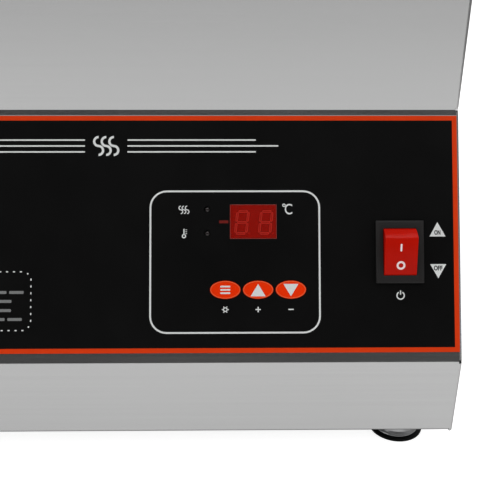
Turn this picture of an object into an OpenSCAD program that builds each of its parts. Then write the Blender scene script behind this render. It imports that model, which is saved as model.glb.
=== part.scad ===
// Electric chocolate melting pot with two lift-out pans over a heated water bath.
// The origin is on the table, under the middle of the machine. The front faces -Y.

/* [Cabinet] */
// Width of the cabinet
body_w = 370; // [366:1:390]
// Depth from the lower front face to the rear panel
body_d = 410; // [406:1:440]
// Height from the cabinet's underside to the top of the deck
body_h = 232; // [228:1:250]
// Gap between the table and the cabinet's underside
foot_h = 15; // [12:0.5:20]
// Height of the upright face below the controls
lower_face_h = 44.3; // [42:0.1:48]
// Height that the sloping face covers
slope_rise = 117.5; // [116:0.5:122]
// How far the sloping face brings the lower front forward
slope_run = 60; // [57:0.5:63]
// Thickness of the sheet steel
sheet_t = 1.2; // [1:0.1:1.4]
// Inside radius of a bend in the sheet
bend_r = 0.8; // [0.6:0.1:1]
// Depth of the front panel's side flanges
flange_d = 14; // [13:0.5:16]
// Depth of the lips turned in at the bottom and the rear
lip_d = 12; // [11:0.5:12.5]
// Gap left at each end of a flange, so that the bends meet freely
relief = 1; // [0.8:0.1:1.5]
// Seam between two sheets that meet edge to edge
seam = 0.2; // [0.1:0.05:0.3]
// Depth of the skirt under the deck's edge
skirt_d = 10; // [8:1:14]

/* [Pans and lids] */
// Margin of the deck beside the two pans
pan_side_margin = 8.5; // [7.5:0.5:12]
// Margin of the deck in front of the pans and behind them
pan_end_margin = 12.5; // [11.5:0.5:16]
// Gap between a pan's underside and the tank's floor
pan_floor_gap = 29.2; // [25.2:1:39.2]
// Thickness of the pan's steel
pan_t = 0.8; // [0.6:0.1:1]
// Width of the rim that rests on the deck
pan_seat = 10; // [9:0.5:11]
// Height of the rim's turned down edge
rim_h = 3; // [2.5:0.5:4]
// Gap between the two rims
pan_gap = 1; // [0.5:0.5:2]
// Gap between a pan's wall and the deck's opening
pan_clear = 2.5; // [2:0.5:3]
// Slope of the pan's walls
pan_draft = 5; // [3:0.5:6]
// Corner radius of the pan's wall
pan_corner_r = 24; // [20:1:28]
// Radius of the rim's corners
rim_corner_r = 15; // [12:1:18]
// Height of the lid's raised centre
lid_rise = 7; // [5:1:10]
// Distance from the lid's edge to its raised centre
lid_border = 22; // [18:1:26]
// Radius of the lid's knob
knob_r = 16; // [14:0.5:18]
// Height of the lid's knob
knob_h = 26; // [22:1:30]

/* [Water bath] */
// Height of the tank's floor above the cabinet's underside
bath_floor_h = 105.8; // [102.8:1:107.8]
// Thickness of the tank's steel
tank_t = 1; // [0.8:0.1:1.2]
// Gap between the deck's openings and the tank's wall
tank_margin = 3; // [2:0.5:4]
// Corner radius of the tank
tank_corner_r = 12; // [8:1:16]
// Thickness of the insulation round the tank
insulation_t = 8; // [5:0.5:8.5]
// Radius of the heating element's tube
element_r = 4; // [3.5:0.1:4.5]
// Distance between the element's runs
element_pitch = 80; // [74:1:84]
// Height of the element's middle above the tank's floor
element_lift = 9; // [8:0.5:10]
// Radius of the temperature probe
probe_r = 3; // [2:0.25:3.25]
// Length of the probe inside the tank
probe_l = 22; // [16:1:26]
// Radius of the overheat cut-out
cutout_r = 8; // [6:0.5:9]

/* [Control panel] */
// Margin of bare steel above the overlay
overlay_top = 2.8; // [2:0.1:4]
// Margin of bare steel below the overlay
overlay_bottom = 5.3; // [4:0.1:7]
// Margin of bare steel beside the overlay
overlay_side = 1.6; // [1.4:0.1:3]
// Thickness of the overlay
overlay_t = 0.4; // [0.3:0.05:0.5]
// Distance of the display's middle from the cabinet's right side
display_side = 108.5; // [107:0.5:110]
// Distance of the display's middle down the slope
display_v = 58.7; // [57:0.5:60]
// Width of the display window
display_w = 24.4; // [22:0.1:25]
// Height of the display window
display_h = 18; // [16:0.2:18.4]
// Depth of the display module
display_depth = 8; // [7:0.5:9]
// Distance of the lights from the cabinet's right side
led_side = 132.4; // [131:0.2:134]
// Distance of the upper light down the slope
led_v = 52.3; // [51:0.1:53]
// Distance between the two lights
led_pitch = 12.5; // [11:0.5:14]
// Radius of a light
led_r = 1.5; // [1.2:0.1:1.6]
// Distance of the middle key from the cabinet's right side
key_side = 106.1; // [105:0.1:108]
// Distance of the keys' middle down the slope
key_v = 94.1; // [92:0.1:95]
// Distance between two keys
key_pitch = 17; // [16.8:0.1:17.5]
// Width of a key
key_w = 15.8; // [15:0.1:16]
// Height of a key
key_h = 9.4; // [8.5:0.1:10]
// How far a key stands out of the overlay
key_proud = 0.4; // [0.2:0.1:0.8]
// Travel of a key
key_travel = 0.6; // [0.4:0.1:0.8]

/* [Rocker switch] */
// Distance of the switch from the cabinet's right side
switch_side = 32.5; // [30:0.1:34]
// Distance of the switch's middle down the slope
switch_v = 74.7; // [73:0.1:77]
// Width of the bezel
bezel_w = 24.8; // [24:0.1:26]
// Height of the bezel
bezel_h = 32.4; // [32:0.1:34]
// Thickness of the bezel
bezel_t = 2; // [1.6:0.1:2.4]
// Width of the rocker
rocker_w = 16.8; // [16:0.1:17.4]
// Angle of the rocker at each of its two places
rocker_tilt = 15; // [13:0.5:16]
// Radius of the rocker's ends about its pin
rocker_r = 13.5; // [13.2:0.1:13.7]
// Depth of the rocker's pin below the overlay's face
rocker_pivot_d = 4.5; // [4.3:0.1:4.8]
// Height of the rocker's face above its pin
rocker_face_h = 9.5; // [9.2:0.1:9.8]
// Radius of the rocker's pin
rocker_pin_r = 1.5; // [1.2:0.1:1.8]

/* [Rear and feet] */
// Distance of the cable gland from the cabinet's side
gland_side = 65; // [55:1:85]
// Height of the cable gland above the cabinet's underside
gland_z = 38; // [34:1:44]
// How far the gland stands out of the rear panel
gland_out = 14; // [12:0.5:18]
// Radius of the hole in the gland's seal
cord_r = 4; // [3.5:0.1:4.5]
// Distance of a foot from the cabinet's side
foot_inset_x = 25.4; // [24:0.2:30]
// Distance of a foot from the cabinet's front or rear
foot_inset_y = 24; // [24:0.5:30]
// Radius of a foot's rubber base
foot_r = 15.2; // [14:0.2:16]
// Thickness of a foot's rubber base at its edge
foot_pad_h = 1.8; // [1.4:0.1:2.2]
// Radius of a foot's steel cup
cup_r = 12.9; // [12:0.1:13.4]

/* [Hidden] */
$fn = 48;

// Clearances and general values
over = 1;
fit = 0.2;
snug = 0.05;
arc_steps = 6;
corner_steps = 8;
oval_steps = 48;
hex_sides = 6;
blend_skin = 0.01;
skirt_gap = 0.4;

// Fasteners
screw_r = 2;
screw_head_r = 3.8;
screw_head_h = 2.4;
screw_l = 8;
small_screw_r = 1.25;
small_head_r = 2.3;
small_head_h = 1.8;
foot_screw_r = 2.5;
foot_head_r = 4.6;
foot_head_h = 3.2;
foot_nut_r = 4.6;
foot_nut_h = 4;

// Levels and planes of the cabinet
edge_r = bend_r + sheet_t;
body_z = foot_h;
bend_lo_z = body_z + lower_face_h;
bend_hi_z = bend_lo_z + slope_rise;
top_z = body_z + body_h;
shell_z = top_z - sheet_t;
slope_a = atan2(slope_run, slope_rise);
slope_l = norm([slope_run, slope_rise]);
half_w = body_w / 2;
display_u = half_w - display_side;
led_u = half_w - led_side;
key_u = half_w - key_side;
switch_u = half_w - switch_side;
gland_x = half_w - gland_side;
overall_d = body_d + gland_out;
rear_y = body_d - sheet_t;
lip_y = rear_y - sheet_t;
floor_z = body_z + 2 * sheet_t;
plate_gap = bend_r + fit;

// Outline of the front panel's outer surface, as [y, z]
face_path = [[0, body_z], [0, bend_lo_z], [slope_run, bend_hi_z], [slope_run, shell_z]];
front_path = concat([[lip_d, body_z]], face_path);
front_outer_r = [edge_r, edge_r, bend_r];
front_inner_r = [bend_r, bend_r, edge_r];

// Deck, pans and tank
deck_mid_y = (slope_run + body_d) / 2;
pan_w = (body_w - 2 * pan_side_margin - pan_gap) / 2;
pan_l = body_d - slope_run - 2 * pan_end_margin;
open_w = pan_w - 2 * pan_seat;
open_l = pan_l - 2 * pan_seat;
pan_pitch = pan_w + pan_gap;
open_corner_r = pan_corner_r + pan_clear;
tank_half_w = pan_pitch / 2 + open_w / 2 + tank_margin;
tank_half_l = open_l / 2 + tank_margin;
tank_front_y = deck_mid_y - tank_half_l - tank_t;
tank_floor_z = body_z + bath_floor_h;
bath_depth = shell_z - tank_floor_z;
tank_under_z = tank_floor_z - tank_t;
pan_top_w = open_w - 2 * pan_clear;
pan_top_l = open_l - 2 * pan_clear;
pan_z = tank_floor_z + pan_floor_gap;
pan_rim_z = top_z + rim_h;
pan_depth = pan_rim_z - pan_z;
pan_foot_h = 6;
pan_foot_inset = 5;

// Lids
lid_z = pan_rim_z;
lid_t = pan_t;
lid_step = 3;
lid_top_z = lid_z + lid_t + lid_rise;
knob_screw_r = 2.5;
knob_head_r = 4.5;
knob_head_h = 2.5;
knob_screw_l = knob_h / 2;
lid_inset = 1.5;
// Radius and height along the knob's side, as shares of its radius and height
knob_side_shares = [[0.5, 0], [0.4, 0.3], [0.9, 0.55], [1, 0.7], [0.9, 0.9], [0.6, 1]];

// Heating element: four runs joined by three bends in one level
element_z = tank_floor_z + element_lift;
element_bend_r = element_pitch / 2;
element_margin = 20;
element_rear_y = deck_mid_y + tank_half_l - element_bend_r - element_margin;
element_front_y = deck_mid_y - tank_half_l + element_bend_r + element_margin;
element_out = 14;
boss_r = 5;
boss_out = 10;
collar_r = 8;
collar_t = 3;
gasket_t = 1.5;
element_nut_r = 8;
element_nut_h = 5;
pin_r = 1.5;
clip_l = 10;
clip_w = 3 * element_r;

// Probe and cut-out
probe_z = (element_z + element_r + pan_z) / 2;
probe_nut_r = 2 * probe_r;
probe_nut_h = 4;
probe_out = 8;
cutout_x = element_pitch;
cutout_h = 9;
cutout_flange = 3;
cutout_flange_t = 1.5;
bracket_l = 40;
bracket_w = 2 * (cutout_r + cutout_flange) + 2 * sheet_t;

// Control board behind the sloping face, measured outwards from that face
board_front = -(sheet_t + 2 * fit + display_depth);
board_t = 1.6;
board_u = key_u;
board_v = (display_v + key_v) / 2;
board_w = 80;
board_h = 66;
board_hole_inset = 4;
spacer_r = 2.6;
module_margin = 0.6;
key_lip = 1;
key_lip_t = 0.8;
key_fit = 0.15;
key_back = -(sheet_t + snug + key_lip_t);
stem_r = 1.6;
key_switch_w = 6;
key_switch_h = 3.5;
stem_dip = 1.2;
stem_tip = board_front + key_switch_h - stem_dip;
led_flange = 0.4;
led_flange_t = 1;

// Rocker switch, measured outwards from the sloping face
pivot_w = overlay_t - rocker_pivot_d;
rocker_open_w = rocker_w + 2 * fit;
rocker_open_h = 2 * (sqrt(pow(rocker_r + fit, 2) - pow(rocker_pivot_d + bezel_t, 2)) + fit);
bezel_lip = 1.5;
housing_wall = 0.7;
housing_w = bezel_w - 2 * bezel_lip;
housing_h = 2 * (rocker_r + fit + housing_wall);
housing_d = 18;
cavity_d = 9;
rocker_skirt = 1;
rocker_boss_w = 8;
rocker_boss_d = 3;
pin_reach = 1.4;
terminal_w = 6.3;
terminal_t = 0.8;
terminal_l = 9;
terminal_share = 0.28;

// Power electrics on the bottom plate
standoff_h = 8;
power_board_w = 104;
power_board_d = 78;
power_board_t = 1.6;
power_x = 55;
power_y = slope_run + power_board_d / 2 + lip_d;
power_inset = 5;
power_top_z = floor_z + standoff_h + power_board_t;
transformer_size = [42, 36, 32];
transformer_x = power_x - power_board_w / 4;
transformer_core_w = 22;
transformer_core_out = 5;
transformer_core_z = 8;
relay_size = [29, 13, 16];
relay_pitch = 20;
relay_x = power_x + power_board_w / 4;
connector_size = [10, 9, 12];
connector_pitch = 13;
connector_y = power_y + power_board_d / 2 - connector_size.y;
block_size = [50, 20, 16];
block_x = -gland_x / 2;
block_inset = 90;
block_y = body_d - block_inset;
block_poles = 5;
block_hole_r = 2.5;
earth_x = -gland_x;
earth_y = block_y;
earth_r = 2;
earth_h = 14;
lead_r = 1.2;
lead_step = 4 * lead_r;
sleeve_w = 3.6;
sleeve_h = 8;
sleeve_back = 5;
plug_size = [12, 8, 7];
lead_z = power_top_z + transformer_size.z + lead_step;
lead_front_y = tank_front_y - element_out - lead_step;
lead_low_z = floor_z + block_size.z / 2;
lead_rear_y = connector_y + connector_size.y / 2 + 2 * lead_step;

// Rear panel
gland_thread_r = 8;
gland_hex_r = 12;
gland_hex_h = 5;
gland_in = 12;
gland_seal_wall = 2;
gland_seal_r = cord_r + gland_seal_wall;
gland_nut_h = 4;
vent_w = 4;
vent_h = 34;
vent_pitch = 14;
vent_count = 11;
rear_screw_x = half_w - edge_r - lip_d / 2;
rear_screw_z_shares = [0.12, 0.5, 0.84];

// Bottom plate
plate_half_w = half_w - sheet_t - plate_gap;
plate_front_y = sheet_t + plate_gap;
plate_rear_y = lip_y - fit;
bottom_front_share = 0.6;
bottom_front_x = half_w * bottom_front_share;
bottom_side_x = half_w - edge_r - lip_d / 2 + bend_r;
bottom_side_y_shares = [0.3, 0.7];
slot_x = -half_w / 2;
slot_w = 40;
slot_h = 5;
slot_pitch = 18;
slot_rows = 5;

// Feet
foot_x = half_w - foot_inset_x;
foot_top_z = body_z + sheet_t;
cup_t = 1;
cup_lip_h = 0.8;
cup_top_r = 9.5;
pad_chamfer = 0.6;
core_r = cup_top_r - 1.5 * cup_t;
head_seat_z = 6;

// Functions

function unit(v) = v / norm(v);
function inner_side(v) = [v.y, -v.x];
function reversed(p) = [for (i = [len(p) - 1:-1:0]) p[i]];

// A corner of a path, moved square to both of its sides by d
function shifted_corner(a, b, c, d) =
    let (n1 = inner_side(unit(b - a)), n2 = inner_side(unit(c - b)))
    b + d * (n1 + n2) / (1 + n1 * n2);

// An open path moved to its inner side by d, with mitred corners
function inward(p, d) = let (last = len(p) - 1) [
    for (i = [0:last])
        i == 0 ? p[0] + d * inner_side(unit(p[1] - p[0])) :
        i == last ? p[last] + d * inner_side(unit(p[last] - p[last - 1])) :
        shifted_corner(p[i - 1], p[i], p[i + 1], d)
];

// An arc of radius r in the corner at b
function corner_arc(a, b, c, r) =
    let (
        u = unit(a - b), v = unit(c - b), half = acos(u * v) / 2,
        mid = b + unit(u + v) * r / sin(half),
        p = b + u * r / tan(half) - mid, q = b + v * r / tan(half) - mid,
        from = atan2(p.y, p.x),
        swing = atan2(q.y, q.x) - from,
        turn = swing > 180 ? swing - 360 : swing < -180 ? swing + 360 : swing
    )
    [for (i = [0:arc_steps]) mid + r * [cos(from + turn * i / arc_steps), sin(from + turn * i / arc_steps)]];

// An open path with its corners rounded to the radii in rs
function rounded_path(p, rs) = concat(
    [p[0]],
    [for (i = [1:len(p) - 2]) each corner_arc(p[i - 1], p[i], p[i + 1], rs[i - 1])],
    [p[len(p) - 1]]
);

function rounded_rect(w, l, r) = [
    for (k = [0:3], i = [0:corner_steps])
        let (
            a = 90 * (k + i / corner_steps),
            sx = (k == 0 || k == 3) ? 1 : -1,
            sy = k < 2 ? 1 : -1
        )
        [sx * (w / 2 - r) + r * cos(a), sy * (l / 2 - r) + r * sin(a)]
];

function oval(w, h) = [
    for (i = [0:oval_steps - 1]) [w / 2 * cos(360 * i / oval_steps), h / 2 * sin(360 * i / oval_steps)]
];

// A point on the sloping face: u across, v down from the upper bend, w outwards
function slope_point(u, v, w) = [
    u,
    slope_run - v * sin(slope_a) - w * cos(slope_a),
    bend_hi_z - v * cos(slope_a) + w * sin(slope_a)
];

// Placing

module from_front() { translate([0, -overall_d / 2, 0]) children(); }

module on_slope(u, v, w = 0) {
    translate([0, slope_run, bend_hi_z]) rotate([90 - slope_a, 0, 0]) translate([u, -v, w]) children();
}

module both_sides() {
    children();
    mirror([1, 0, 0]) children();
}

module along_x(x0, x1) { translate([x0, 0, 0]) rotate([90, 0, 90]) linear_extrude(x1 - x0) children(); }

module along_y(y0, y1) { translate([0, y1, 0]) rotate([90, 0, 0]) linear_extrude(y1 - y0) children(); }

module block(low, high) { translate(low) cube(high - low); }

module centred(size) { translate([-size.x / 2, -size.y / 2, 0]) cube(size); }

module bent_sheet(path, outer_rs, inner_rs) {
    polygon(concat(rounded_path(path, outer_rs), reversed(rounded_path(inward(path, sheet_t), inner_rs))));
}

// A round rod between two points
module rod(a, b, r) {
    d = b - a;
    translate(a) rotate([0, acos(d.z / norm(d)), atan2(d.y, d.x)]) cylinder(h = norm(d), r = r);
}

// A lead through a list of points, with round corners
module lead(points, r) {
    for (i = [1:len(points) - 1]) rod(points[i - 1], points[i], r);
    for (i = [1:len(points) - 2]) translate(points[i]) sphere(r = r);
}

module pan_head_screw(r, head_r, head_h, l) {
    cylinder(h = l, r = r);
    translate([0, 0, -head_h]) cylinder(h = head_h, r = head_r);
}

module at_feet() {
    for (x = [-foot_x, foot_x], y = [foot_inset_y, body_d - foot_inset_y]) translate([x, y, 0]) children();
}

module at_rear_screws() {
    for (x = [-rear_screw_x, rear_screw_x], share = rear_screw_z_shares)
        translate([x, body_d, body_z + share * body_h]) rotate([90, 0, 0]) children();
}

module at_bottom_screws() {
    for (x = [-bottom_front_x, bottom_front_x], y = [lip_d / 2, body_d - lip_d / 2])
        translate([x, y, body_z]) children();
    for (x = [-bottom_side_x, bottom_side_x], share = bottom_side_y_shares)
        translate([x, share * body_d, body_z]) children();
}

module screw_hole() { translate([0, 0, -over]) cylinder(h = screw_l + 2 * over, r = screw_r + snug); }

// Cabinet

// The rounded bend along the right edge of one of the front faces
module face_bend(k) {
    run = face_path[k + 1] - face_path[k];
    low = k == 0 ? 0 : relief;
    high = norm(run) - (k == 2 ? 0 : relief);
    translate([0, face_path[k].x, face_path[k].y])
        rotate([-atan2(run.x, run.y), 0, 0])
            translate([half_w - edge_r, edge_r, low])
                rotate([0, 0, -90]) rotate_extrude(angle = 90)
                    translate([bend_r, 0]) square([sheet_t, high - low]);
}

// The flange behind that bend, mitred where two faces meet
module face_flange(k) {
    near = inward(face_path, edge_r - blend_skin);
    far = inward(face_path, flange_d);
    along = unit(face_path[k + 1] - face_path[k]);
    low = k == 0 ? 0 : seam / 2;
    high = k == 2 ? 0 : seam / 2;
    along_x(half_w - sheet_t, half_w) polygon([
        near[k] + low * along, near[k + 1] - high * along,
        far[k + 1] - high * along, far[k] + low * along
    ]);
}

module front_panel() {
    color("silver") from_front() difference() {
        union() {
            along_x(-half_w + edge_r - blend_skin, half_w - edge_r + blend_skin)
                bent_sheet(front_path, front_outer_r, front_inner_r);
            both_sides() for (k = [0:2]) {
                face_bend(k);
                face_flange(k);
            }
        }
        panel_openings(-sheet_t - over, over);
        at_bottom_screws() screw_hole();
    }
}

// The openings that the sheet and the overlay share, cut from depth low to depth high
module panel_openings(low, high) {
    on_slope(display_u, display_v, low) linear_extrude(high - low)
        square([display_w + 2 * snug, display_h + 2 * snug], center = true);
    for (i = [0, 1]) on_slope(led_u, led_v + i * led_pitch, low)
        cylinder(h = high - low, r = led_r + key_fit);
    for (i = [-1:1]) on_slope(key_u + i * key_pitch, key_v, low) linear_extrude(high - low)
        polygon(oval(key_w + 2 * key_fit, key_h + 2 * key_fit));
    on_slope(switch_u, switch_v, low) linear_extrude(high - low)
        square([housing_w + 2 * fit, housing_h + 2 * fit], center = true);
}

module side_sheet() {
    front = inward(face_path, flange_d + seam);
    rear = lip_y + sheet_t - edge_r;
    difference() {
        union() {
            along_x(half_w - sheet_t, half_w) polygon([
                [front[0].x, body_z + edge_r], front[1], front[2], front[3],
                [rear, shell_z], [rear, body_z + edge_r]
            ]);
            along_y(flange_d + seam, rear) polygon(concat(
                rounded_path([
                    [half_w - lip_d, body_z], [half_w, body_z], [half_w, body_z + edge_r]
                ], [edge_r]),
                reversed(rounded_path([
                    [half_w - lip_d, body_z + sheet_t], [half_w - sheet_t, body_z + sheet_t],
                    [half_w - sheet_t, body_z + edge_r]
                ], [bend_r]))
            ));
            translate([0, 0, body_z + edge_r]) linear_extrude(shell_z - body_z - edge_r) polygon(concat(
                rounded_path([
                    [half_w, rear], [half_w, rear_y], [half_w - edge_r - lip_d, rear_y]
                ], [edge_r]),
                reversed(rounded_path([
                    [half_w - sheet_t, rear], [half_w - sheet_t, lip_y], [half_w - edge_r - lip_d, lip_y]
                ], [bend_r]))
            ));
        }
        at_bottom_screws() screw_hole();
        at_rear_screws() screw_hole();
    }
}

module right_side_panel() { color("silver") from_front() side_sheet(); }

module left_side_panel() { color("silver") from_front() mirror([1, 0, 0]) side_sheet(); }

module rear_panel() {
    color("silver") from_front() difference() {
        union() {
            block([-half_w + edge_r, rear_y, body_z + edge_r], [half_w - edge_r, body_d, shell_z]);
            along_x(-half_w + lip_d + fit, half_w - lip_d - fit) bent_sheet([
                [body_d, body_z + edge_r + over], [body_d, body_z], [body_d - lip_d, body_z]
            ], [edge_r], [bend_r]);
        }
        at_rear_screws() screw_hole();
        at_bottom_screws() screw_hole();
        translate([gland_x, body_d + over, body_z + gland_z]) rotate([90, 0, 0])
            cylinder(h = sheet_t + 2 * over, r = gland_thread_r + snug);
        for (i = [0:vent_count - 1])
            translate([(i - (vent_count - 1) / 2) * vent_pitch, 0, body_z + body_h / 2])
                block([-vent_w / 2, rear_y - over, 0], [vent_w / 2, body_d + over, vent_h]);
    }
}

module bottom_plate() {
    color("gainsboro") from_front() difference() {
        block([-plate_half_w, plate_front_y, body_z + sheet_t], [plate_half_w, plate_rear_y, floor_z]);
        at_bottom_screws() screw_hole();
        at_feet() translate([0, 0, body_z]) cylinder(h = floor_z, r = foot_screw_r + snug);
        for (i = [0:slot_rows - 1])
            translate([slot_x, body_d / 2 + i * slot_pitch, body_z])
                block([-slot_w / 2, 0, 0], [slot_w / 2, slot_h, floor_z]);
    }
}

// The space inside the cabinet's top edge, made smaller by inset and taller by extra
module skirt_block(inset, extra) {
    x = half_w - sheet_t - skirt_gap - inset;
    block([-x, slope_run + sheet_t + skirt_gap + inset, shell_z - skirt_d - extra],
        [x, lip_y - skirt_gap - inset, shell_z + extra]);
}

module top_deck() {
    color("silver") from_front() difference() {
        union() {
            block([-half_w, slope_run, shell_z], [half_w, body_d, top_z]);
            difference() {
                skirt_block(0, 0);
                skirt_block(sheet_t, over);
            }
        }
        at_pans() translate([0, 0, shell_z - over])
            linear_extrude(sheet_t + 2 * over) polygon(rounded_rect(open_w, open_l, open_corner_r));
    }
}

module rear_screws() {
    color("dimgray") from_front() at_rear_screws()
        pan_head_screw(screw_r, screw_head_r, screw_head_h, screw_l);
}

module bottom_screws() {
    color("dimgray") from_front() at_bottom_screws()
        pan_head_screw(screw_r, screw_head_r, screw_head_h, screw_l);
}

// Water bath

module at_pan(side) { translate([side * pan_pitch / 2, deck_mid_y, 0]) children(); }

module at_pans() { for (side = [-1, 1]) at_pan(side) children(); }

module tank_outline(grow) {
    polygon(rounded_rect(2 * (tank_half_w + grow), 2 * (tank_half_l + grow), tank_corner_r + grow));
}

module at_element_ends() {
    for (side = [-1, 1]) translate([side * element_pitch * 3 / 2, tank_front_y, element_z]) children();
}

module water_tank() {
    color("lightgray") from_front() difference() {
        translate([0, deck_mid_y, 0]) difference() {
            translate([0, 0, tank_under_z]) linear_extrude(shell_z - tank_under_z) tank_outline(tank_t);
            translate([0, 0, tank_floor_z]) linear_extrude(bath_depth + over) tank_outline(0);
        }
        at_element_ends() translate([0, -over, 0]) rotate([-90, 0, 0])
            cylinder(h = tank_t + 2 * over, r = boss_r + snug);
        translate([0, tank_front_y - over, probe_z]) rotate([-90, 0, 0])
            cylinder(h = tank_t + 2 * over, r = probe_r + snug);
    }
}

module tank_insulation() {
    low = tank_floor_z - tank_t;
    color("khaki") from_front() difference() {
        translate([0, deck_mid_y, low]) linear_extrude(shell_z - skirt_d - fit - low) difference() {
            tank_outline(tank_t + fit + insulation_t);
            tank_outline(tank_t + fit);
        }
        at_element_ends() translate([0, over, 0]) rotate([90, 0, 0])
            cylinder(h = insulation_t + 2 * over, r = element_nut_r + over);
        translate([0, tank_front_y + over, probe_z]) rotate([90, 0, 0])
            cylinder(h = insulation_t + 2 * over, r = probe_nut_r + over);
    }
}

module element_bend(x, y, front) {
    translate([x, y, element_z]) rotate([0, 0, front ? 180 : 0])
        rotate_extrude(angle = 180) translate([element_bend_r, 0]) circle(r = element_r);
}

module heating_element() {
    color("dimgray") from_front() {
        for (side = [-1, 1]) {
            element_bend(side * element_pitch, element_rear_y, false);
            rod([side * element_pitch / 2, element_front_y, element_z],
                [side * element_pitch / 2, element_rear_y, element_z], element_r);
            rod([side * element_pitch * 3 / 2, tank_front_y - boss_out, element_z],
                [side * element_pitch * 3 / 2, element_rear_y, element_z], element_r);
        }
        element_bend(0, element_front_y, true);
        at_element_ends() {
            rod([0, -boss_out, 0], [0, tank_t + gasket_t + collar_t, 0], boss_r);
            rod([0, tank_t + gasket_t, 0], [0, tank_t + gasket_t + collar_t, 0], collar_r);
            rod([0, -element_out, 0], [0, 0, 0], pin_r);
        }
    }
}

module element_nuts() {
    color("goldenrod") from_front() at_element_ends() rotate([90, 0, 0]) difference() {
        cylinder(h = element_nut_h, r = element_nut_r, $fn = hex_sides);
        translate([0, 0, -over]) cylinder(h = element_nut_h + 2 * over, r = boss_r + snug);
    }
}

module element_gaskets() {
    color("firebrick") from_front() at_element_ends() translate([0, tank_t, 0]) rotate([-90, 0, 0])
        difference() {
            cylinder(h = gasket_t, r = collar_r);
            translate([0, 0, -over]) cylinder(h = gasket_t + 2 * over, r = boss_r + snug);
        }
}

module element_clips() {
    color("silver") from_front() for (i = [-3:2:3])
        translate([i * element_pitch / 2, deck_mid_y, tank_floor_z]) difference() {
            centred([clip_w, clip_l, element_lift]);
            translate([0, -clip_l, element_lift]) rotate([-90, 0, 0])
                cylinder(h = 2 * clip_l, r = element_r + snug);
        }
}

module temperature_probe() {
    color("silver") from_front() translate([0, tank_front_y, probe_z]) {
        rod([0, -probe_out, 0], [0, tank_t + probe_l, 0], probe_r);
        rod([0, tank_t, 0], [0, 2 * tank_t, 0], probe_nut_r);
        translate([0, tank_t + probe_l, 0]) sphere(r = probe_r);
    }
}

module probe_nut() {
    color("goldenrod") from_front() translate([0, tank_front_y, probe_z]) rotate([90, 0, 0]) difference() {
        cylinder(h = probe_nut_h, r = probe_nut_r, $fn = hex_sides);
        translate([0, 0, -over]) cylinder(h = probe_nut_h + 2 * over, r = probe_r + snug);
    }
}

module at_cutout() { translate([cutout_x, deck_mid_y, tank_under_z]) mirror([0, 0, 1]) children(); }

module overheat_cutout() {
    color("black") from_front() at_cutout() {
        cylinder(h = cutout_flange_t, r = cutout_r + cutout_flange);
        cylinder(h = cutout_h, r = cutout_r);
        for (side = [-1, 1]) translate([side * cutout_r / 2, 0, cutout_h])
            centred([terminal_t, terminal_w, terminal_l]);
    }
}

module cutout_bracket() {
    color("silver") from_front() at_cutout() difference() {
        centred([bracket_l, bracket_w, cutout_flange_t + sheet_t]);
        translate([0, 0, -over]) cylinder(h = over + cutout_flange_t, r = cutout_r + cutout_flange + snug);
        cylinder(h = cutout_h, r = cutout_r + snug);
    }
}

// Pans and lids

module rim_outline(grow) {
    polygon(rounded_rect(pan_w + 2 * grow, pan_l + 2 * grow, rim_corner_r + grow));
}

// The pan's tapered wall, as a solid, made smaller by inset on every side
module pan_body(inset) {
    drop = pan_depth - pan_foot_h;
    narrow = 2 * drop * tan(pan_draft);
    hull() {
        translate([0, 0, inset]) linear_extrude(blend_skin) polygon(rounded_rect(
            pan_top_w - narrow - 2 * (pan_foot_inset + inset),
            pan_top_l - narrow - 2 * (pan_foot_inset + inset), pan_corner_r - pan_foot_inset - inset));
        translate([0, 0, pan_foot_h]) linear_extrude(blend_skin) polygon(rounded_rect(
            pan_top_w - narrow - 2 * inset, pan_top_l - narrow - 2 * inset, pan_corner_r - inset));
        translate([0, 0, pan_depth]) linear_extrude(blend_skin) polygon(rounded_rect(
            pan_top_w - 2 * inset, pan_top_l - 2 * inset, pan_corner_r - inset));
    }
}

module pan(side) {
    color("whitesmoke") from_front() at_pan(side) difference() {
        union() {
            translate([0, 0, pan_z]) intersection() {
                pan_body(0);
                linear_extrude(pan_depth) rim_outline(0);
            }
            translate([0, 0, pan_rim_z - pan_t]) linear_extrude(pan_t) rim_outline(0);
            translate([0, 0, top_z]) linear_extrude(rim_h) difference() {
                rim_outline(0);
                rim_outline(-pan_t);
            }
        }
        translate([0, 0, pan_z]) pan_body(pan_t);
    }
}

module left_pan() { pan(-1); }

module right_pan() { pan(1); }

module lid_dome(inset) {
    w = pan_w - 2 * lid_border;
    l = pan_l - 2 * lid_border;
    hull() {
        linear_extrude(blend_skin) polygon(rounded_rect(w - 2 * inset, l - 2 * inset, rim_corner_r));
        translate([0, 0, lid_rise]) linear_extrude(lid_t) polygon(rounded_rect(
            w - 2 * lid_step - 2 * inset, l - 2 * lid_step - 2 * inset, rim_corner_r - lid_step));
    }
}

module lid(side) {
    color("gainsboro") from_front() at_pan(side) translate([0, 0, lid_z]) difference() {
        union() {
            linear_extrude(lid_t) rim_outline(-lid_inset);
            lid_dome(0);
        }
        translate([0, 0, -lid_t]) lid_dome(lid_t);
        translate([0, 0, lid_rise - over]) cylinder(h = lid_t + 2 * over, r = knob_screw_r + snug);
    }
}

module left_lid() { lid(-1); }

module right_lid() { lid(1); }

module knob(side) {
    color("black") from_front() at_pan(side) translate([0, 0, lid_top_z]) difference() {
        rotate_extrude() polygon(concat(
            [[0, 0]], [for (share = knob_side_shares) [knob_r * share.x, knob_h * share.y]], [[0, knob_h]]
        ));
        translate([0, 0, -over]) cylinder(h = knob_screw_l + over, r = knob_screw_r + snug);
    }
}

module left_lid_knob() { knob(-1); }

module right_lid_knob() { knob(1); }

module knob_screw(side) {
    color("silver") from_front() at_pan(side) translate([0, 0, lid_top_z - lid_t])
        pan_head_screw(knob_screw_r, knob_head_r, knob_head_h, knob_screw_l);
}

module left_knob_screw() { knob_screw(-1); }

module right_knob_screw() { knob_screw(1); }

// Control panel

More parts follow.
